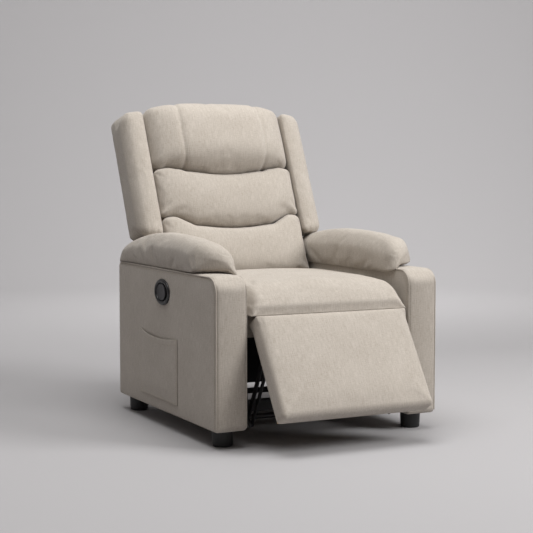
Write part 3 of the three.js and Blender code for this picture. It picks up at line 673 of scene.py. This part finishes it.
class RECLINER_OT_materials(bpy.types.Operator):
    """Makes every finish and gives the carried-over frame parts theirs."""

    bl_idname = "recliner.materials"
    bl_label = "Finishes"

    def execute(self, context):
        make_materials()
        for name, node in NODES.items():
            node.data.materials.clear()
            node.data.materials.append(MATERIALS[cad_slot(name)])
        return {"FINISHED"}


CAD_SLOTS = (
    ("seat_spring", "spring_steel"),
    ("paddle_pin", "spring_steel"),
    ("arm_frame", "plywood"),
    ("seat_rear_rail", "plywood"),
    ("seat_side_rail", "plywood"),
    ("back_post", "plywood"),
    ("back_bottom_rail", "plywood"),
    ("back_top_rail", "plywood"),
    # Painted shade: the rear board is coloured black for the shadow between the arms.
    ("rear_cross_board", "shade_black_plywood"),
    ("footrest_board", "plywood"),
    ("back_web", "webbing"),
    ("release_cable", "cable_sheath"),
    ("seat_front", "wrapped_fabric"),
)


def cad_slot(name):
    """The finish of a frame part by the start of its name: bare steel parts are powder-coated."""
    return next((slot for start, slot in CAD_SLOTS if name.startswith(start)), "black_steel")


class RECLINER_OT_arm_covers(bpy.types.Operator):
    """The boxed covers of both arms, with their sewn edges and topstitching."""

    bl_idname = "recliner.arm_covers"
    bl_label = "Arm covers"

    def execute(self, context):
        centre = (ARM_LOW + ARM_HIGH) / 2
        half = (ARM_HIGH - ARM_LOW) / 2
        edge_radius, dip, dip_reach, front_swell, top_swell = 0.0085, 0.0035, 0.02, 0.005, 0.004
        _, rolled, quads, weave = soft_block((18, 84, 52), half, edge_radius, 0.86)
        place = rolled / half
        # A side panel is flat in its middle and dips towards its sewn edges: dip * exp(-d / dip_reach).
        edge = np.min(half[1:] - np.abs(rolled[:, 1:]), axis=1)
        side = np.sign(rolled[:, 0]) * smooth_step((np.abs(place[:, 0]) - 0.7) / 0.3)
        x = rolled[:, 0] - side * dip * np.exp(-edge / dip_reach)
        across = 1 - place[:, 0] ** 2
        ahead = smooth_step((-place[:, 1] - 0.9) / 0.1)
        above = smooth_step((place[:, 2] - 0.9) / 0.1)
        y = centre[1] + rolled[:, 1] - front_swell * across * ahead
        z = centre[2] + rolled[:, 2] + top_swell * across * above
        y, z = arm_outline(y, z)
        points = np.stack([centre[0] + x, y, z], axis=1)
        cover = link_mesh("arm_cover_skin_right", points, quads, MATERIALS["upholstery_fabric"], weave)
        finish_skin(cover)
        place_on(cover, "root", "upholstery_fabric", "arm_cover_right")
        twin = mirrored_copy(cover, "arm_cover_skin_left")
        points = points_of(twin.data)
        # The opening for the handle: the outer skin is pushed in inside the bezel's rim.
        rim, opening_depth = 0.0015, 0.036
        reach = (BEZEL_HIGH - BEZEL_LOW)[1:] / 2 - rim
        middle = ((BEZEL_LOW + BEZEL_HIGH) / 2)[1:]
        ring = np.linalg.norm((points[:, 1:] - middle) / reach, axis=1)
        outer = points[:, 0] < -(ARM_HIGH[0] - 0.01)
        points[:, 0] += outer * opening_depth * smooth_step((1 - ring) / 0.15)
        set_points(twin.data, points)
        place_on(twin, "root", "upholstery_fabric", "arm_cover_left")
        self.trim_edges()
        return {"FINISHED"}

    def trim_edges(self):
        """A ridge and a row of stitches along each edge between a side panel and the front and top strip."""
        ridge_radius, ridge_inset, step = 0.0021, 0.0036, 0.006
        stitch_offset, thread_inset = 0.0085, 0.0012
        foot, tail = 0.012, 0.02
        run = np.linspace(0, 1, 60)
        _, low_y, low_z = ARM_LOW
        _, high_y, high_z = ARM_HIGH
        up = np.stack([np.full(60, low_y), low_z + foot + run * (high_z - low_z - foot)], 1)
        back = np.stack([low_y + run * (high_y - low_y - tail), np.full(60, high_z)], 1)
        y, z = arm_outline(*np.concatenate([up, back[1:]]).T)
        inward = np.array([(low_y + high_y) / 2, (low_z + high_z) / 2])
        for side, sign in SIDES:
            for edge, x_edge, turn in (("outer", ARM_HIGH[0], 1.0), ("inner", ARM_LOW[0], -1.0)):
                x = np.full(len(y), sign * (x_edge - turn * ridge_inset))
                path = evenly(np.stack([x, y + 0.0022, z - 0.0018], 1), step)
                ridge = cord_form(path, ridge_radius)
                welt = link_mesh(f"arm_welt_{edge}_{side}", *ridge, MATERIALS["upholstery_fabric"])
                box_weave(welt)
                place_on(welt, "root", "upholstery_fabric")
                inner = path[:, 1:] + stitch_offset * unit(inward[None] - path[:, 1:])
                row = np.column_stack([np.full(len(path), sign * (x_edge - turn * thread_inset)), inner])
                stitches = stitch_rows(row, np.array([sign * turn, 0.0, 0.0]))
                thread = link_mesh(f"arm_stitching_{edge}_{side}", *stitches, MATERIALS["sewing_thread"])
                place_on(thread, "root", "upholstery_fabric")


def box_weave(piece):
    """Lays the cloth's measure on a piece by the axis that each face points along most."""
    mesh = piece.data
    corners = np.zeros(len(mesh.loops), np.int32)
    mesh.loops.foreach_get("vertex_index", corners)
    normals = np.zeros(len(mesh.polygons) * 3, np.float32)
    mesh.polygons.foreach_get("normal", normals)
    totals = np.zeros(len(mesh.polygons), np.int32)
    mesh.polygons.foreach_get("loop_total", totals)
    axis = np.repeat(np.argmax(np.abs(normals.reshape(-1, 3)), axis=1), totals)
    at = points_of(mesh)[corners]
    across = np.where(axis == 0, at[:, 1], at[:, 0])
    along = np.where(axis == 2, at[:, 1], at[:, 2])
    layer = mesh.uv_layers.new(name="weave")
    layer.data.foreach_set("uv", np.stack([across, along], 1).astype(np.float32).ravel())


class RECLINER_OT_arm_pads(bpy.types.Operator):
    """The pillow on top of each arm, with its slanted front and the gathers at its outer corner."""

    bl_idname = "recliner.arm_pads"
    bl_label = "Arm pads"

    def execute(self, context):
        sizes = context.scene.recliner_sizes
        half = np.array([0.0560, 0.3550, 0.0560])
        middle_x = 0.3228
        nose, slant, rear = 0.074, 0.074, 0.787
        seam, seam_rise, nose_lift = 0.484, 0.018, 0.014
        flat, rolled, quads, weave = soft_block(
            (22, 84, 20), half, lambda a: 0.016 + 0.034 * smooth_step((a[:, 2] + 0.7) / 1.2)
        )
        x = middle_x + rolled[:, 0]
        across, lengthways, share = ((rolled / half + 1) / 2).T
        # The front runs back from the inner nose to the outer seam, and the pad's cloth follows it.
        front = nose + slant * np.clip(across, 0, 1) ** 1.6
        y = front + (rear - front) * lengthways
        bottom = seam + seam_rise * smooth_step(across / 0.35) + nose_lift * bump(y, front - 0.02, 0.05)
        top = pad_profile(y - 0.38 * (front - nose) * smooth_step(1 - (y - front) / 0.16))
        z = bottom + (top - bottom) * share
        points = np.stack([x, deep(y), z], axis=1)
        pad = link_mesh("arm_pad_cushion_right", points, quads, MATERIALS["upholstery_fabric"], weave)
        held = flat[:, 2] < -0.98 * half[2]
        stuff(pad, held, sizes.swell_cap * 0.35, slack=0.012)
        finish_skin(pad, self.gathers)
        cushion(pad, "root", "arm_pad_right")
        cushion(mirrored_copy(pad, "arm_pad_cushion_left"), "root", "arm_pad_left")
        return {"FINISHED"}

    def gathers(self, points):
        """Fine gathers that fan out from the outer front corner: depth * sin(11 angle) * exp(-d / reach)."""
        depth, reach, seam_top = 0.0016, 0.030, 0.505
        d = np.hypot(points[:, 0] - 0.372, points[:, 1] - deep(0.165))
        angle = np.arctan2(points[:, 2] - 0.50, points[:, 1] - deep(0.14))
        return depth * np.sin(angle * 11.0) * np.exp(-d / reach) * (points[:, 2] > seam_top)


class RECLINER_OT_seat(bpy.types.Operator):
    """The seat cushion, crowned, with its front rolled down to the footrest's seam."""

    bl_idname = "recliner.seat"
    bl_label = "Seat cushion"

    def execute(self, context):
        sizes = context.scene.recliner_sizes
        half = np.array([0.2700, 0.2880, 0.0415])
        middle_y, underside, height = 0.2785, 0.3872, 0.0825
        seam_width = 0.965
        flat, rolled, quads, weave = soft_block(
            (72, 76, 18),
            half,
            lambda a: 0.012 + 0.083 * smooth_step((a[:, 2] + 0.9) / 1.3),
            stretch=(2.2, 1.0, 1.9),
        )
        share = (rolled[:, 2] / half[2] + 1) / 2
        x = rolled[:, 0]
        y = middle_y + rolled[:, 1]
        middle = (1 - (x / half[0]) ** 2) * (1 - (rolled[:, 1] / half[1]) ** 4)
        z = underside + height * share**1.7 + sizes.seat_crown * middle * share
        # The lower front corners come to the footrest's width at the seam.
        lower = smooth_step((0.80 - share) / 0.55) * smooth_step(1 - (y + 0.01) / 0.12)
        x = x + (flat[:, 0] * seam_width - x) * 0.6 * lower
        points = np.stack([x, deep(y), z], axis=1)
        seat = link_mesh("seat_cushion_cover", points, quads, MATERIALS["upholstery_fabric"], weave)
        held = (flat[:, 2] < -0.9 * half[2]) | (flat[:, 1] > 0.96 * half[1])
        stuff(seat, held, sizes.swell_cap * 0.35, slack=0.004)
        finish_skin(seat)
        cushion(seat, "root", "seat_cushion")
        return {"FINISHED"}


class RECLINER_OT_back(bpy.types.Operator):
    """The three channels of the back, the two wings and the panel behind them."""

    bl_idname = "recliner.back"
    bl_label = "Back cushions and wings"

    def execute(self, context):
        sizes = context.scene.recliner_sizes
        crown = sizes.back_crown

        def upper(x):
            return groove_height(x, UPPER_GROOVE)

        def lower(x):
            return groove_height(x, LOWER_GROOVE)

        def top(x):
            return 0.704 - 0.024 * np.abs(x / 0.262) ** 2.6

        def bottom(x):
            return np.full(len(x), 0.054)

        # Each section's name, ends, front and its swell, rear, edge radius, cells, squareness and set-back.
        sections = (
            ("lumbar", bottom, lower, -0.072, crown, -0.022, 0.022, (66, 10, 30), 2.2, 0.012),
            ("middle", lower, upper, -0.072, crown, -0.022, 0.022, (66, 10, 30), 2.2, 0.012),
            ("head", upper, top, -0.080, crown * 2.2, 0.022, 0.036, (66, 18, 36), 3.4, 0.020),
        )
        for name, *shape in sections:
            piece, flat = back_section(f"{name}_channel", *shape)
            held = flat[:, 1] > 0.5 * flat[:, 1].max()
            stuff(piece, held, sizes.swell_cap * 0.35, slack=0.006)
            finish_skin(piece, lambda p, part=name: self.channels(p, part, sizes.seam_depth))
            cushion(piece, "back", f"{name}_cushion")
        self.wings(sizes)
        self.rear_panel()
        return {"FINISHED"}

    def channels(self, points, part, depth):
        """The head's two upright seams, and the soft pulls that fall from where they end.

        Each is a groove of the form -depth * exp(-((x - seam) / width)^2), faded out along its length.
        """
        x, v, u = back_measures(points)
        aside = np.abs(x)
        if part == "head":
            line = HEAD_SEAM + 0.004 * np.sin((u - 0.45) * 14)
            groove = 0.8 * bump(aside, line, 0.012) + 0.7 * bump(aside, line, 0.0035)
            return -depth * groove * smooth_step(-(v - 0.01) / 0.03)
        bottom, top = (0.24, 0.45) if part == "middle" else (0.05, 0.25)
        fade = 0.05
        hanging = bump(aside, 0.150, 0.010) * np.exp(-(top - u) / fade)
        standing = bump(aside, 0.128, 0.008) * np.exp(-(u - bottom) / fade)
        rise = smooth_step((u - bottom) / fade)
        return -0.45 * depth * (hanging + standing) * rise * smooth_step(-v / 0.03)

    def wings(self, sizes):
        """Each wing is a soft block whose bottom slants down to the front and whose top falls outwards."""
        half = np.array([0.0405, 0.0680, 0.2350])
        middle_x, middle_v, front, depth = 0.3045, -0.003, -0.07, 0.134
        flat, rolled, quads, weave = soft_block(
            (16, 24, 66),
            half,
            lambda a: 0.018 + 0.016 * smooth_step(a[:, 0] * 0.5 + 0.5) * smooth_step(0.5 - a[:, 1]),
            stretch=(1.0, 1.0, 0.85),
        )
        t = (rolled[:, 2] / half[2] + 1) / 2
        across = (rolled[:, 0] / half[0] + 1) / 2
        forward = smooth_step((1 - rolled[:, 1] / half[1]) / 2)
        v = middle_v + rolled[:, 1] + (0.012 * across**2 + 0.005 * (1 - across) ** 2) * forward
        rearward = (v - front) / depth
        low = 0.203 + 0.032 * rearward
        high = 0.682 - 0.006 * across - 0.012 * (1 - rearward)
        u = low + (high - low) * t
        x = middle_x + rolled[:, 0]
        wing = link_mesh(
            "wing_cushion_right", lean_back(np.stack([x, v, u], 1)), quads,
            MATERIALS["upholstery_fabric"], weave,
        )
        held = (flat[:, 1] > 0.9 * half[1]) | (flat[:, 0] < -0.98 * half[0])
        stuff(wing, held, sizes.swell_cap * 0.25, slack=0.004)

        finish_skin(wing, self.wing_pulls)
        cushion(wing, "back", "wing_right")
        cushion(mirrored_copy(wing, "wing_cushion_left"), "back", "wing_left")

    def wing_pulls(self, points):
        """Two short pulls up from a wing's lower end: -depth * exp(-height / fade) at each one's place."""
        depth, lower_end, fade, width = 0.0022, 0.215, 0.020, 0.006
        x, _, u = back_measures(points)
        aside = np.abs(x)
        strength = depth * np.exp(-np.clip(u - lower_end, 0, 1) / fade)
        return -strength * (bump(aside, 0.288, width) + bump(aside, 0.312, width))

    def rear_panel(self):
        """The outside back: a shallow padded panel that swells by 6 mm to the rear in its middle."""
        half = np.array([0.2615, 0.0110, 0.3115])
        middle_v, middle_u, most = 0.035, 0.3315, 0.006
        _, rolled, quads, weave = soft_block((60, 4, 70), half, 0.009)
        swell = most * (1 - (rolled[:, 0] / half[0]) ** 4) * (1 - (rolled[:, 2] / half[2]) ** 4)
        v = middle_v + rolled[:, 1] + np.where(rolled[:, 1] > 0, swell, 0)
        local = np.stack([rolled[:, 0], v, middle_u + rolled[:, 2]], axis=1)
        panel = link_mesh("back_outside_panel", lean_back(local), quads, MATERIALS["lining_fabric"], weave)
        finish_skin(panel)
        place_on(panel, "back", "lining_fabric", "back_rear_panel")


class RECLINER_OT_footrest(bpy.types.Operator):
    """The footrest's padded face, turned under at its edges."""

    bl_idname = "recliner.footrest"
    bl_label = "Footrest"

    def execute(self, context):
        sizes = context.scene.recliner_sizes
        half = np.array([0.2570, 0.0280, 0.1620])
        middle_depth, middle_run, most = 0.0285, 0.1605, 0.007
        flat, rolled, quads, weave = soft_block(
            (70, 12, 46), half, lambda a: 0.0155 - 0.0105 * smooth_step((a[:, 2] - 0.8) / 0.15), 0.85
        )
        front = rolled[:, 1] < 0
        crown = most * (1 - (rolled[:, 0] / half[0]) ** 4) * (1 - (rolled[:, 2] / half[2]) ** 4)
        d = middle_depth + rolled[:, 1] - np.where(front, crown * -rolled[:, 1] / half[1], 0)
        run = middle_run - rolled[:, 2]
        y = FOOTREST_TOP[1] - run * math.sin(FOOTREST_TILT) + d * math.cos(FOOTREST_TILT)
        z = FOOTREST_TOP[2] - run * math.cos(FOOTREST_TILT) - d * math.sin(FOOTREST_TILT)
        pad = link_mesh(
            "footrest_cushion", np.stack([rolled[:, 0], y, z], 1), quads,
            MATERIALS["upholstery_fabric"], weave,
        )
        held = (flat[:, 1] > 0.8 * half[1]) | (flat[:, 2] > 0.99 * half[2])
        stuff(pad, held, sizes.swell_cap * 0.25, slack=0.004)
        finish_skin(pad)
        cushion(pad, "footrest", "footrest_pad")
        return {"FINISHED"}


def oval_rings(centre, half_y, half_z, profile, around=96):
    """Rings of an oval dish on the chair's left side: each is the ellipse of half sizes (a - d, b - d).

    profile lists (d, h): how far in from the rim each ring lies, and how far it stands out of the arm.
    """
    t = np.linspace(0, 2 * math.pi, around, endpoint=False)
    inset, height = np.array(profile).T
    y = centre[0] + (half_y - inset)[:, None] * np.cos(t)
    z = centre[1] + (half_z - inset)[:, None] * np.sin(t)
    x = np.broadcast_to(-(ARM_HIGH[0] + height)[:, None], y.shape)
    return np.stack([x, y, z], axis=-1)


class RECLINER_OT_handle(bpy.types.Operator):
    """The oval bezel let into the left arm, and the paddle that is pulled inside it."""

    bl_idname = "recliner.handle"
    bl_label = "Release handle"

    def execute(self, context):
        half_y, half_z = (BEZEL_HIGH - BEZEL_LOW)[1:] / 2
        centre = ((BEZEL_LOW + BEZEL_HIGH) / 2)[1:]
        profile = (
            (0.0, -0.0005),
            (0.0, 0.0016),
            (0.0006, 0.0028),
            (0.0020, 0.0036),
            (0.0052, 0.0039),
            (0.0072, 0.0034),
            (0.0084, 0.0020),
            (0.0090, -0.0010),
            (0.0095, -0.0180),
            (0.0110, -0.0222),
            (0.0150, -0.0238),
            (0.0250, -0.0240),
            (0.0350, -0.0240),
        )
        points, faces = ring_skin(oval_rings(centre, half_y, half_z, profile), False, True)
        bezel = link_mesh("handle_bezel_moulding", points, faces, MATERIALS["handle_plastic"])
        solid = bezel.modifiers.new("wall", "SOLIDIFY")
        solid.thickness = 0.0018
        solid.offset = -1.0
        bake_modifiers(bezel)
        place_on(bezel, "root", "handle_plastic", "handle_bezel")
        self.paddle(centre, half_y, half_z)
        return {"FINISHED"}

    def paddle(self, centre, half_y, half_z):
        """A flat plate with rolled edges, where the opening's oval meets the same oval set back.

        Its outline at angle t is the nearer of the two ovals from a middle between them.
        """
        rim, set_back, taller, soften = 0.0115, 0.022, 0.006, 0.002
        open_y, open_z = half_y - rim, half_z - rim
        middle = centre + np.array([set_back / 2 + 0.001, 0.0])
        t = np.linspace(0, 2 * math.pi, 96, endpoint=False)
        direction = np.stack([np.cos(t), np.sin(t)], axis=1)
        reaches = []
        for shift, tall in ((0.0, open_z), (set_back, open_z + taller)):
            from_oval = middle - (centre + np.array([shift, 0.0]))
            scale = np.array([open_y, tall])
            a = ((direction / scale) ** 2).sum(1)
            b = 2 * (direction * from_oval / scale**2).sum(1)
            c = ((from_oval / scale) ** 2).sum() - 1
            reaches.append((-b + np.sqrt(b * b - 4 * a * c)) / (2 * a))
        outline = -soften * np.log(np.exp(-reaches[0] / soften) + np.exp(-reaches[1] / soften))
        profile = (
            (0.0060, -0.0034),
            (0.0010, -0.0034),
            (0.0, -0.0026),
            (0.0, 0.0006),
            (0.0007, 0.0018),
            (0.0022, 0.0023),
            (0.0060, 0.0017),
            (0.0120, 0.0009),
            (0.0180, 0.0007),
        )
        inset, height = np.array(profile).T
        spread = np.maximum(outline[None] - inset[:, None], 0.0005)
        y = middle[0] + spread * direction[None, :, 0]
        z = middle[1] + spread * direction[None, :, 1]
        x = np.broadcast_to(-(ARM_HIGH[0] + height)[:, None], y.shape)
        points, faces = ring_skin(np.stack([x, y, z], axis=-1))
        plate = link_mesh("handle_paddle_plate", points, faces, MATERIALS["paddle_plastic"])
        place_on(plate, "handle_paddle", "handle_plastic", "handle_paddle")


class RECLINER_OT_pocket(bpy.types.Operator):
    """The patch pocket on the outside of the left arm, sewn on three sides, with a mouth that dips."""

    bl_idname = "recliner.pocket"
    bl_label = "Side pocket"

    def execute(self, context):
        half = np.array([0.0011, *(POCKET_HIGH - POCKET_LOW)[1:] / 2])
        _, rolled, quads, weave = soft_block((2, 44, 34), half, 0.0010, 0.7)
        s = (rolled[:, 1] / half[1] + 1) / 2
        t = (rolled[:, 2] / half[2] + 1) / 2
        x = -(ARM_HIGH[0] + self.stand(s, t)) + rolled[:, 0]
        y = (POCKET_LOW[1] + POCKET_HIGH[1]) / 2 + rolled[:, 1]
        z = POCKET_LOW[2] + (self.mouth(s) - POCKET_LOW[2]) * t
        patch = link_mesh(
            "side_pocket_patch", np.stack([x, y, z], 1), quads, MATERIALS["upholstery_fabric"], weave
        )
        finish_skin(patch)
        place_on(patch, "root", "upholstery_fabric", "side_pocket")
        size = (POCKET_HIGH - POCKET_LOW)[1:]
        run = np.linspace(0.02, 0.98, 50)
        rows = (
            ("rear", np.full(50, 0.975), run),
            ("front", np.full(50, 0.025), run),
            ("base", run, np.full(50, 0.03)),
            ("hem", run, np.full(50, 0.915)),
        )
        for name, s_row, t_row in rows:
            height = POCKET_LOW[2] + (self.mouth(s_row) - POCKET_LOW[2]) * t_row
            x_row = -(ARM_HIGH[0] + self.stand(s_row, t_row) + 0.0012)
            path = np.stack([x_row, POCKET_LOW[1] + size[0] * s_row, height], 1)
            thread = link_mesh(
                f"pocket_stitching_{name}",
                *stitch_rows(path, np.array([-1.0, 0.0, 0.0])),
                MATERIALS["sewing_thread"],
            )
            place_on(thread, "root", "upholstery_fabric")
        return {"FINISHED"}

    def mouth(self, s):
        """Height of the pocket's mouth: highest at the rear, s = 1, and dipping by 4 s (1 - s) sag."""
        fall, sag = 0.005, 0.015
        return POCKET_HIGH[2] - fall * (1 - s) - sag * 4 * s * (1 - s)

    def stand(self, s, t):
        """How far the patch stands off the arm: nothing at its sewn edges, more at its mouth."""
        sewn, fullest = 0.0014, 0.0046
        rise = smooth_step(t / 0.25) * (0.55 + 0.45 * t**3)
        return sewn + fullest * (1 - np.abs(2 * s - 1) ** 4) * rise


class RECLINER_OT_feet(bpy.types.Operator):
    """Four moulded feet: a slightly tapered post with a rounded sole, and a washer plate above it."""

    bl_idname = "recliner.feet"
    bl_label = "Feet"

    def execute(self, context):
        profile = np.array(
            [
                (0.0255, 0.0),
                (0.0275, 0.0),
                (0.0288, 0.0010),
                (0.0296, 0.0028),
                (0.0301, 0.0060),
                (0.0314, 0.0420),
                (0.0318, 0.0440),
                (0.0318, 0.0490),
                (0.0306, 0.0500),
            ]
        )
        t = np.linspace(0, 2 * math.pi, 64, endpoint=False)
        for name in sorted(n for n in NODES if n.startswith("foot_") and "rest" not in n):
            low, high = (np.array(c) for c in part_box(name))
            centre = (low + high) / 2
            x = centre[0] + profile[:, :1] * np.cos(t)
            y = centre[1] + profile[:, :1] * np.sin(t)
            z = np.broadcast_to(low[2] + profile[:, 1:], x.shape)
            points, faces = ring_skin(np.stack([x, y, z], axis=-1))
            foot = link_mesh(f"{name}_post", points, faces, MATERIALS["foot_plastic"])
            place_on(foot, "root", "foot_plastic", name)
        return {"FINISHED"}


class RECLINER_OT_underside_cloths(bpy.types.Operator):
    """The skirt behind the back, the flap behind the footrest and a black sheet of painted shade under the
    seat's rear.
    """

    bl_idname = "recliner.underside_cloths"
    bl_label = "Skirt, flap and painted-shade sheet"

    def execute(self, context):
        low, high = (np.array(c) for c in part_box("bridge_flap"))
        s, t = np.meshgrid(np.linspace(-1, 1, 61), np.linspace(0, 1, 25), indexing="ij")
        # The flap hangs from its hinge line with a few shallow folds: a cosine across, growing downwards.
        folds = 0.0022 * np.cos(s * 9.0) * t
        y = high[1] - 0.002 + (low[1] - high[1] + 0.004) * t + folds
        z = high[2] - 0.001 + (low[2] - high[2] + 0.002) * t
        flap = self.sheet_of("bridge_flap_cloth", s * high[0], y, z)
        place_on(flap, "bridge_flap", "lining_fabric", "bridge_flap")
        board_low, board_high = (np.array(c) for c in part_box("rear_cross_board"))
        start = lean_back(np.array([[0.0, 0.044, 0.024]]))[0]
        end = np.array([0.0, board_high[1] + 0.0025, board_low[2] + 0.003])
        # The skirt falls in a slack curve from the outside back to the rear board, and then down over it.
        lands = 0.66
        reach = 1 - np.clip(1 - t / lands, 0, 1) ** 1.5
        folds = 0.004 * np.cos(s * 11.0) * t * np.clip(lands - t, 0, 1)
        y = start[1] + (end[1] - start[1]) * reach + folds
        z = start[2] + (end[2] - start[2]) * t
        skirt = self.sheet_of("rear_skirt_cloth", s * 0.2605, y, z)
        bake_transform(skirt)
        # A black sheet of painted shade starts along the front of the rear board and rises to below the seat,
        # where the hollow is in shadow.
        edge_y = edge_z = 0.318
        folds = 0.001 * np.cos(s * 13.0) * t * (1 - t)
        y = board_low[1] - 0.002 + (edge_y - board_low[1]) * t**1.5 + folds
        z = board_low[2] + 0.004 + (edge_z - board_low[2]) * t
        shadow_sheet = self.sheet_of("painted_shade_sheet", s * 0.243, y, z)
        shadow_sheet.data.materials.clear()
        shadow_sheet.data.materials.append(MATERIALS["painted_shade_sheet"])
        place_on(shadow_sheet, "root", "lining_fabric")
        return {"FINISHED"}

    def sheet_of(self, name, x, y, z):
        """One layer of cloth on a grid, thickened to 1.6 mm, with its edges' measure as the weave."""
        points = np.stack([x, y, z], axis=-1)
        rows, columns = x.shape
        i, j = np.meshgrid(np.arange(rows - 1), np.arange(columns - 1), indexing="ij")
        a = i * columns + j
        quads = np.stack([a, a + 1, a + columns + 1, a + columns], -1).reshape(-1, 4)
        at = points.reshape(-1, 3)[quads]
        cloth = link_mesh(
            name, points.reshape(-1, 3), quads, MATERIALS["lining_fabric"], at[..., [0, 2]]
        )
        solid = cloth.modifiers.new("cloth", "SOLIDIFY")
        solid.thickness = 0.0016
        solid.offset = 0.0
        bake_modifiers(cloth)
        return cloth


class RECLINER_OT_stage(bpy.types.Operator):
    """A pale studio floor that sweeps up all round the chair, and its soft lights."""

    bl_idname = "recliner.stage"
    bl_label = "Studio"

    def execute(self, context):
        colours = context.scene.recliner_colours
        # The sweep is turned all round: flat to a bend, an arc of a quarter turn, then straight up.
        bend, radius, height = 4.7, 3.2, 4.0
        arc = np.linspace(0, math.pi / 2, 24)
        out = np.concatenate([[0.4, 1.2, 2.4, 3.6, bend], bend + radius * np.sin(arc[1:]), [bend + radius]])
        up = np.concatenate([[0.0] * 5, radius * (1 - np.cos(arc[1:])), [radius + height]])
        turn = np.linspace(0, 2 * math.pi, 72, endpoint=False)
        rings = np.stack(
            [
                out[:, None] * np.cos(turn),
                out[:, None] * np.sin(turn),
                np.broadcast_to(up[:, None], (len(up), 72)),
            ],
            axis=-1,
        )
        points, faces = ring_skin(rings, True, False)
        # Seamless studio paper: matt, with a very slight mottle.
        paper = speckled("matt studio paper", colours.floor, colours.floor, 0.02, {"Roughness": 0.92}, 0.02)
        floor = link_mesh("studio_floor", points, faces, paper)
        self.lamp("key", (3.2, -3.3, 3.4), (0.0, 0.0, 0.5), 2.4, 238.0)
        self.lamp("top", (-0.3, -0.2, 4.4), (0.0, 0.0, 0.0), 3.0, 165.0)
        self.lamp("backdrop", (2.0, 2.6, 3.4), (2.6, 7.0, 1.3), 2.6, 170.0)
        world = bpy.data.worlds.new("studio air")
        world.use_nodes = True
        world.node_tree.nodes["Background"].inputs["Color"].default_value = linear("#E8E5E1")
        world.node_tree.nodes["Background"].inputs["Strength"].default_value = 0.35
        context.scene.world = world
        context.scene.view_settings.view_transform = "Standard"
        return {"FINISHED"}

    def lamp(self, name, place, target, size, power):
        """A square soft box that faces its target."""
        data = bpy.data.lights.new(name, "AREA")
        data.size = size
        data.energy = power
        lamp = bpy.data.objects.new(name, data)
        bpy.context.scene.collection.objects.link(lamp)
        away = np.array(place) - np.array(target)
        lamp.location = place
        flat = math.hypot(away[0], away[1])
        lamp.rotation_euler = (math.atan2(flat, away[2]), 0.0, math.atan2(away[0], -away[1]))


class RECLINER_PT_panel(bpy.types.Panel):
    """Lists the recliner's pieces and its sizes."""

    bl_idname = "RECLINER_PT_panel"
    bl_label = "Recliner"
    bl_space_type = "VIEW_3D"
    bl_region_type = "UI"
    bl_category = "Recliner"

    def draw(self, context):
        layout = self.layout
        for operator in OPERATORS:
            layout.operator(operator.bl_idname)
        for group in (context.scene.recliner_sizes, context.scene.recliner_colours):
            for name in group.__annotations__:
                layout.prop(group, name)


OPERATORS = (
    RECLINER_OT_camera,
    RECLINER_OT_materials,
    RECLINER_OT_arm_covers,
    RECLINER_OT_arm_pads,
    RECLINER_OT_seat,
    RECLINER_OT_back,
    RECLINER_OT_footrest,
    RECLINER_OT_handle,
    RECLINER_OT_pocket,
    RECLINER_OT_feet,
    RECLINER_OT_underside_cloths,
    RECLINER_OT_stage,
)
CLASSES = (ReclinerSizes, ReclinerColours, *OPERATORS, RECLINER_PT_panel)


def register():
    for cls in CLASSES:
        bpy.utils.register_class(cls)
    bpy.types.Scene.recliner_sizes = bpy.props.PointerProperty(type=ReclinerSizes)
    bpy.types.Scene.recliner_colours = bpy.props.PointerProperty(type=ReclinerColours)


def unregister():
    del bpy.types.Scene.recliner_colours
    del bpy.types.Scene.recliner_sizes
    for cls in reversed(CLASSES):
        bpy.utils.unregister_class(cls)


def main():
    register()
    for operator in OPERATORS:
        group, name = operator.bl_idname.split(".")
        getattr(getattr(bpy.ops, group), name)()


if __name__ == "__main__":
    main()
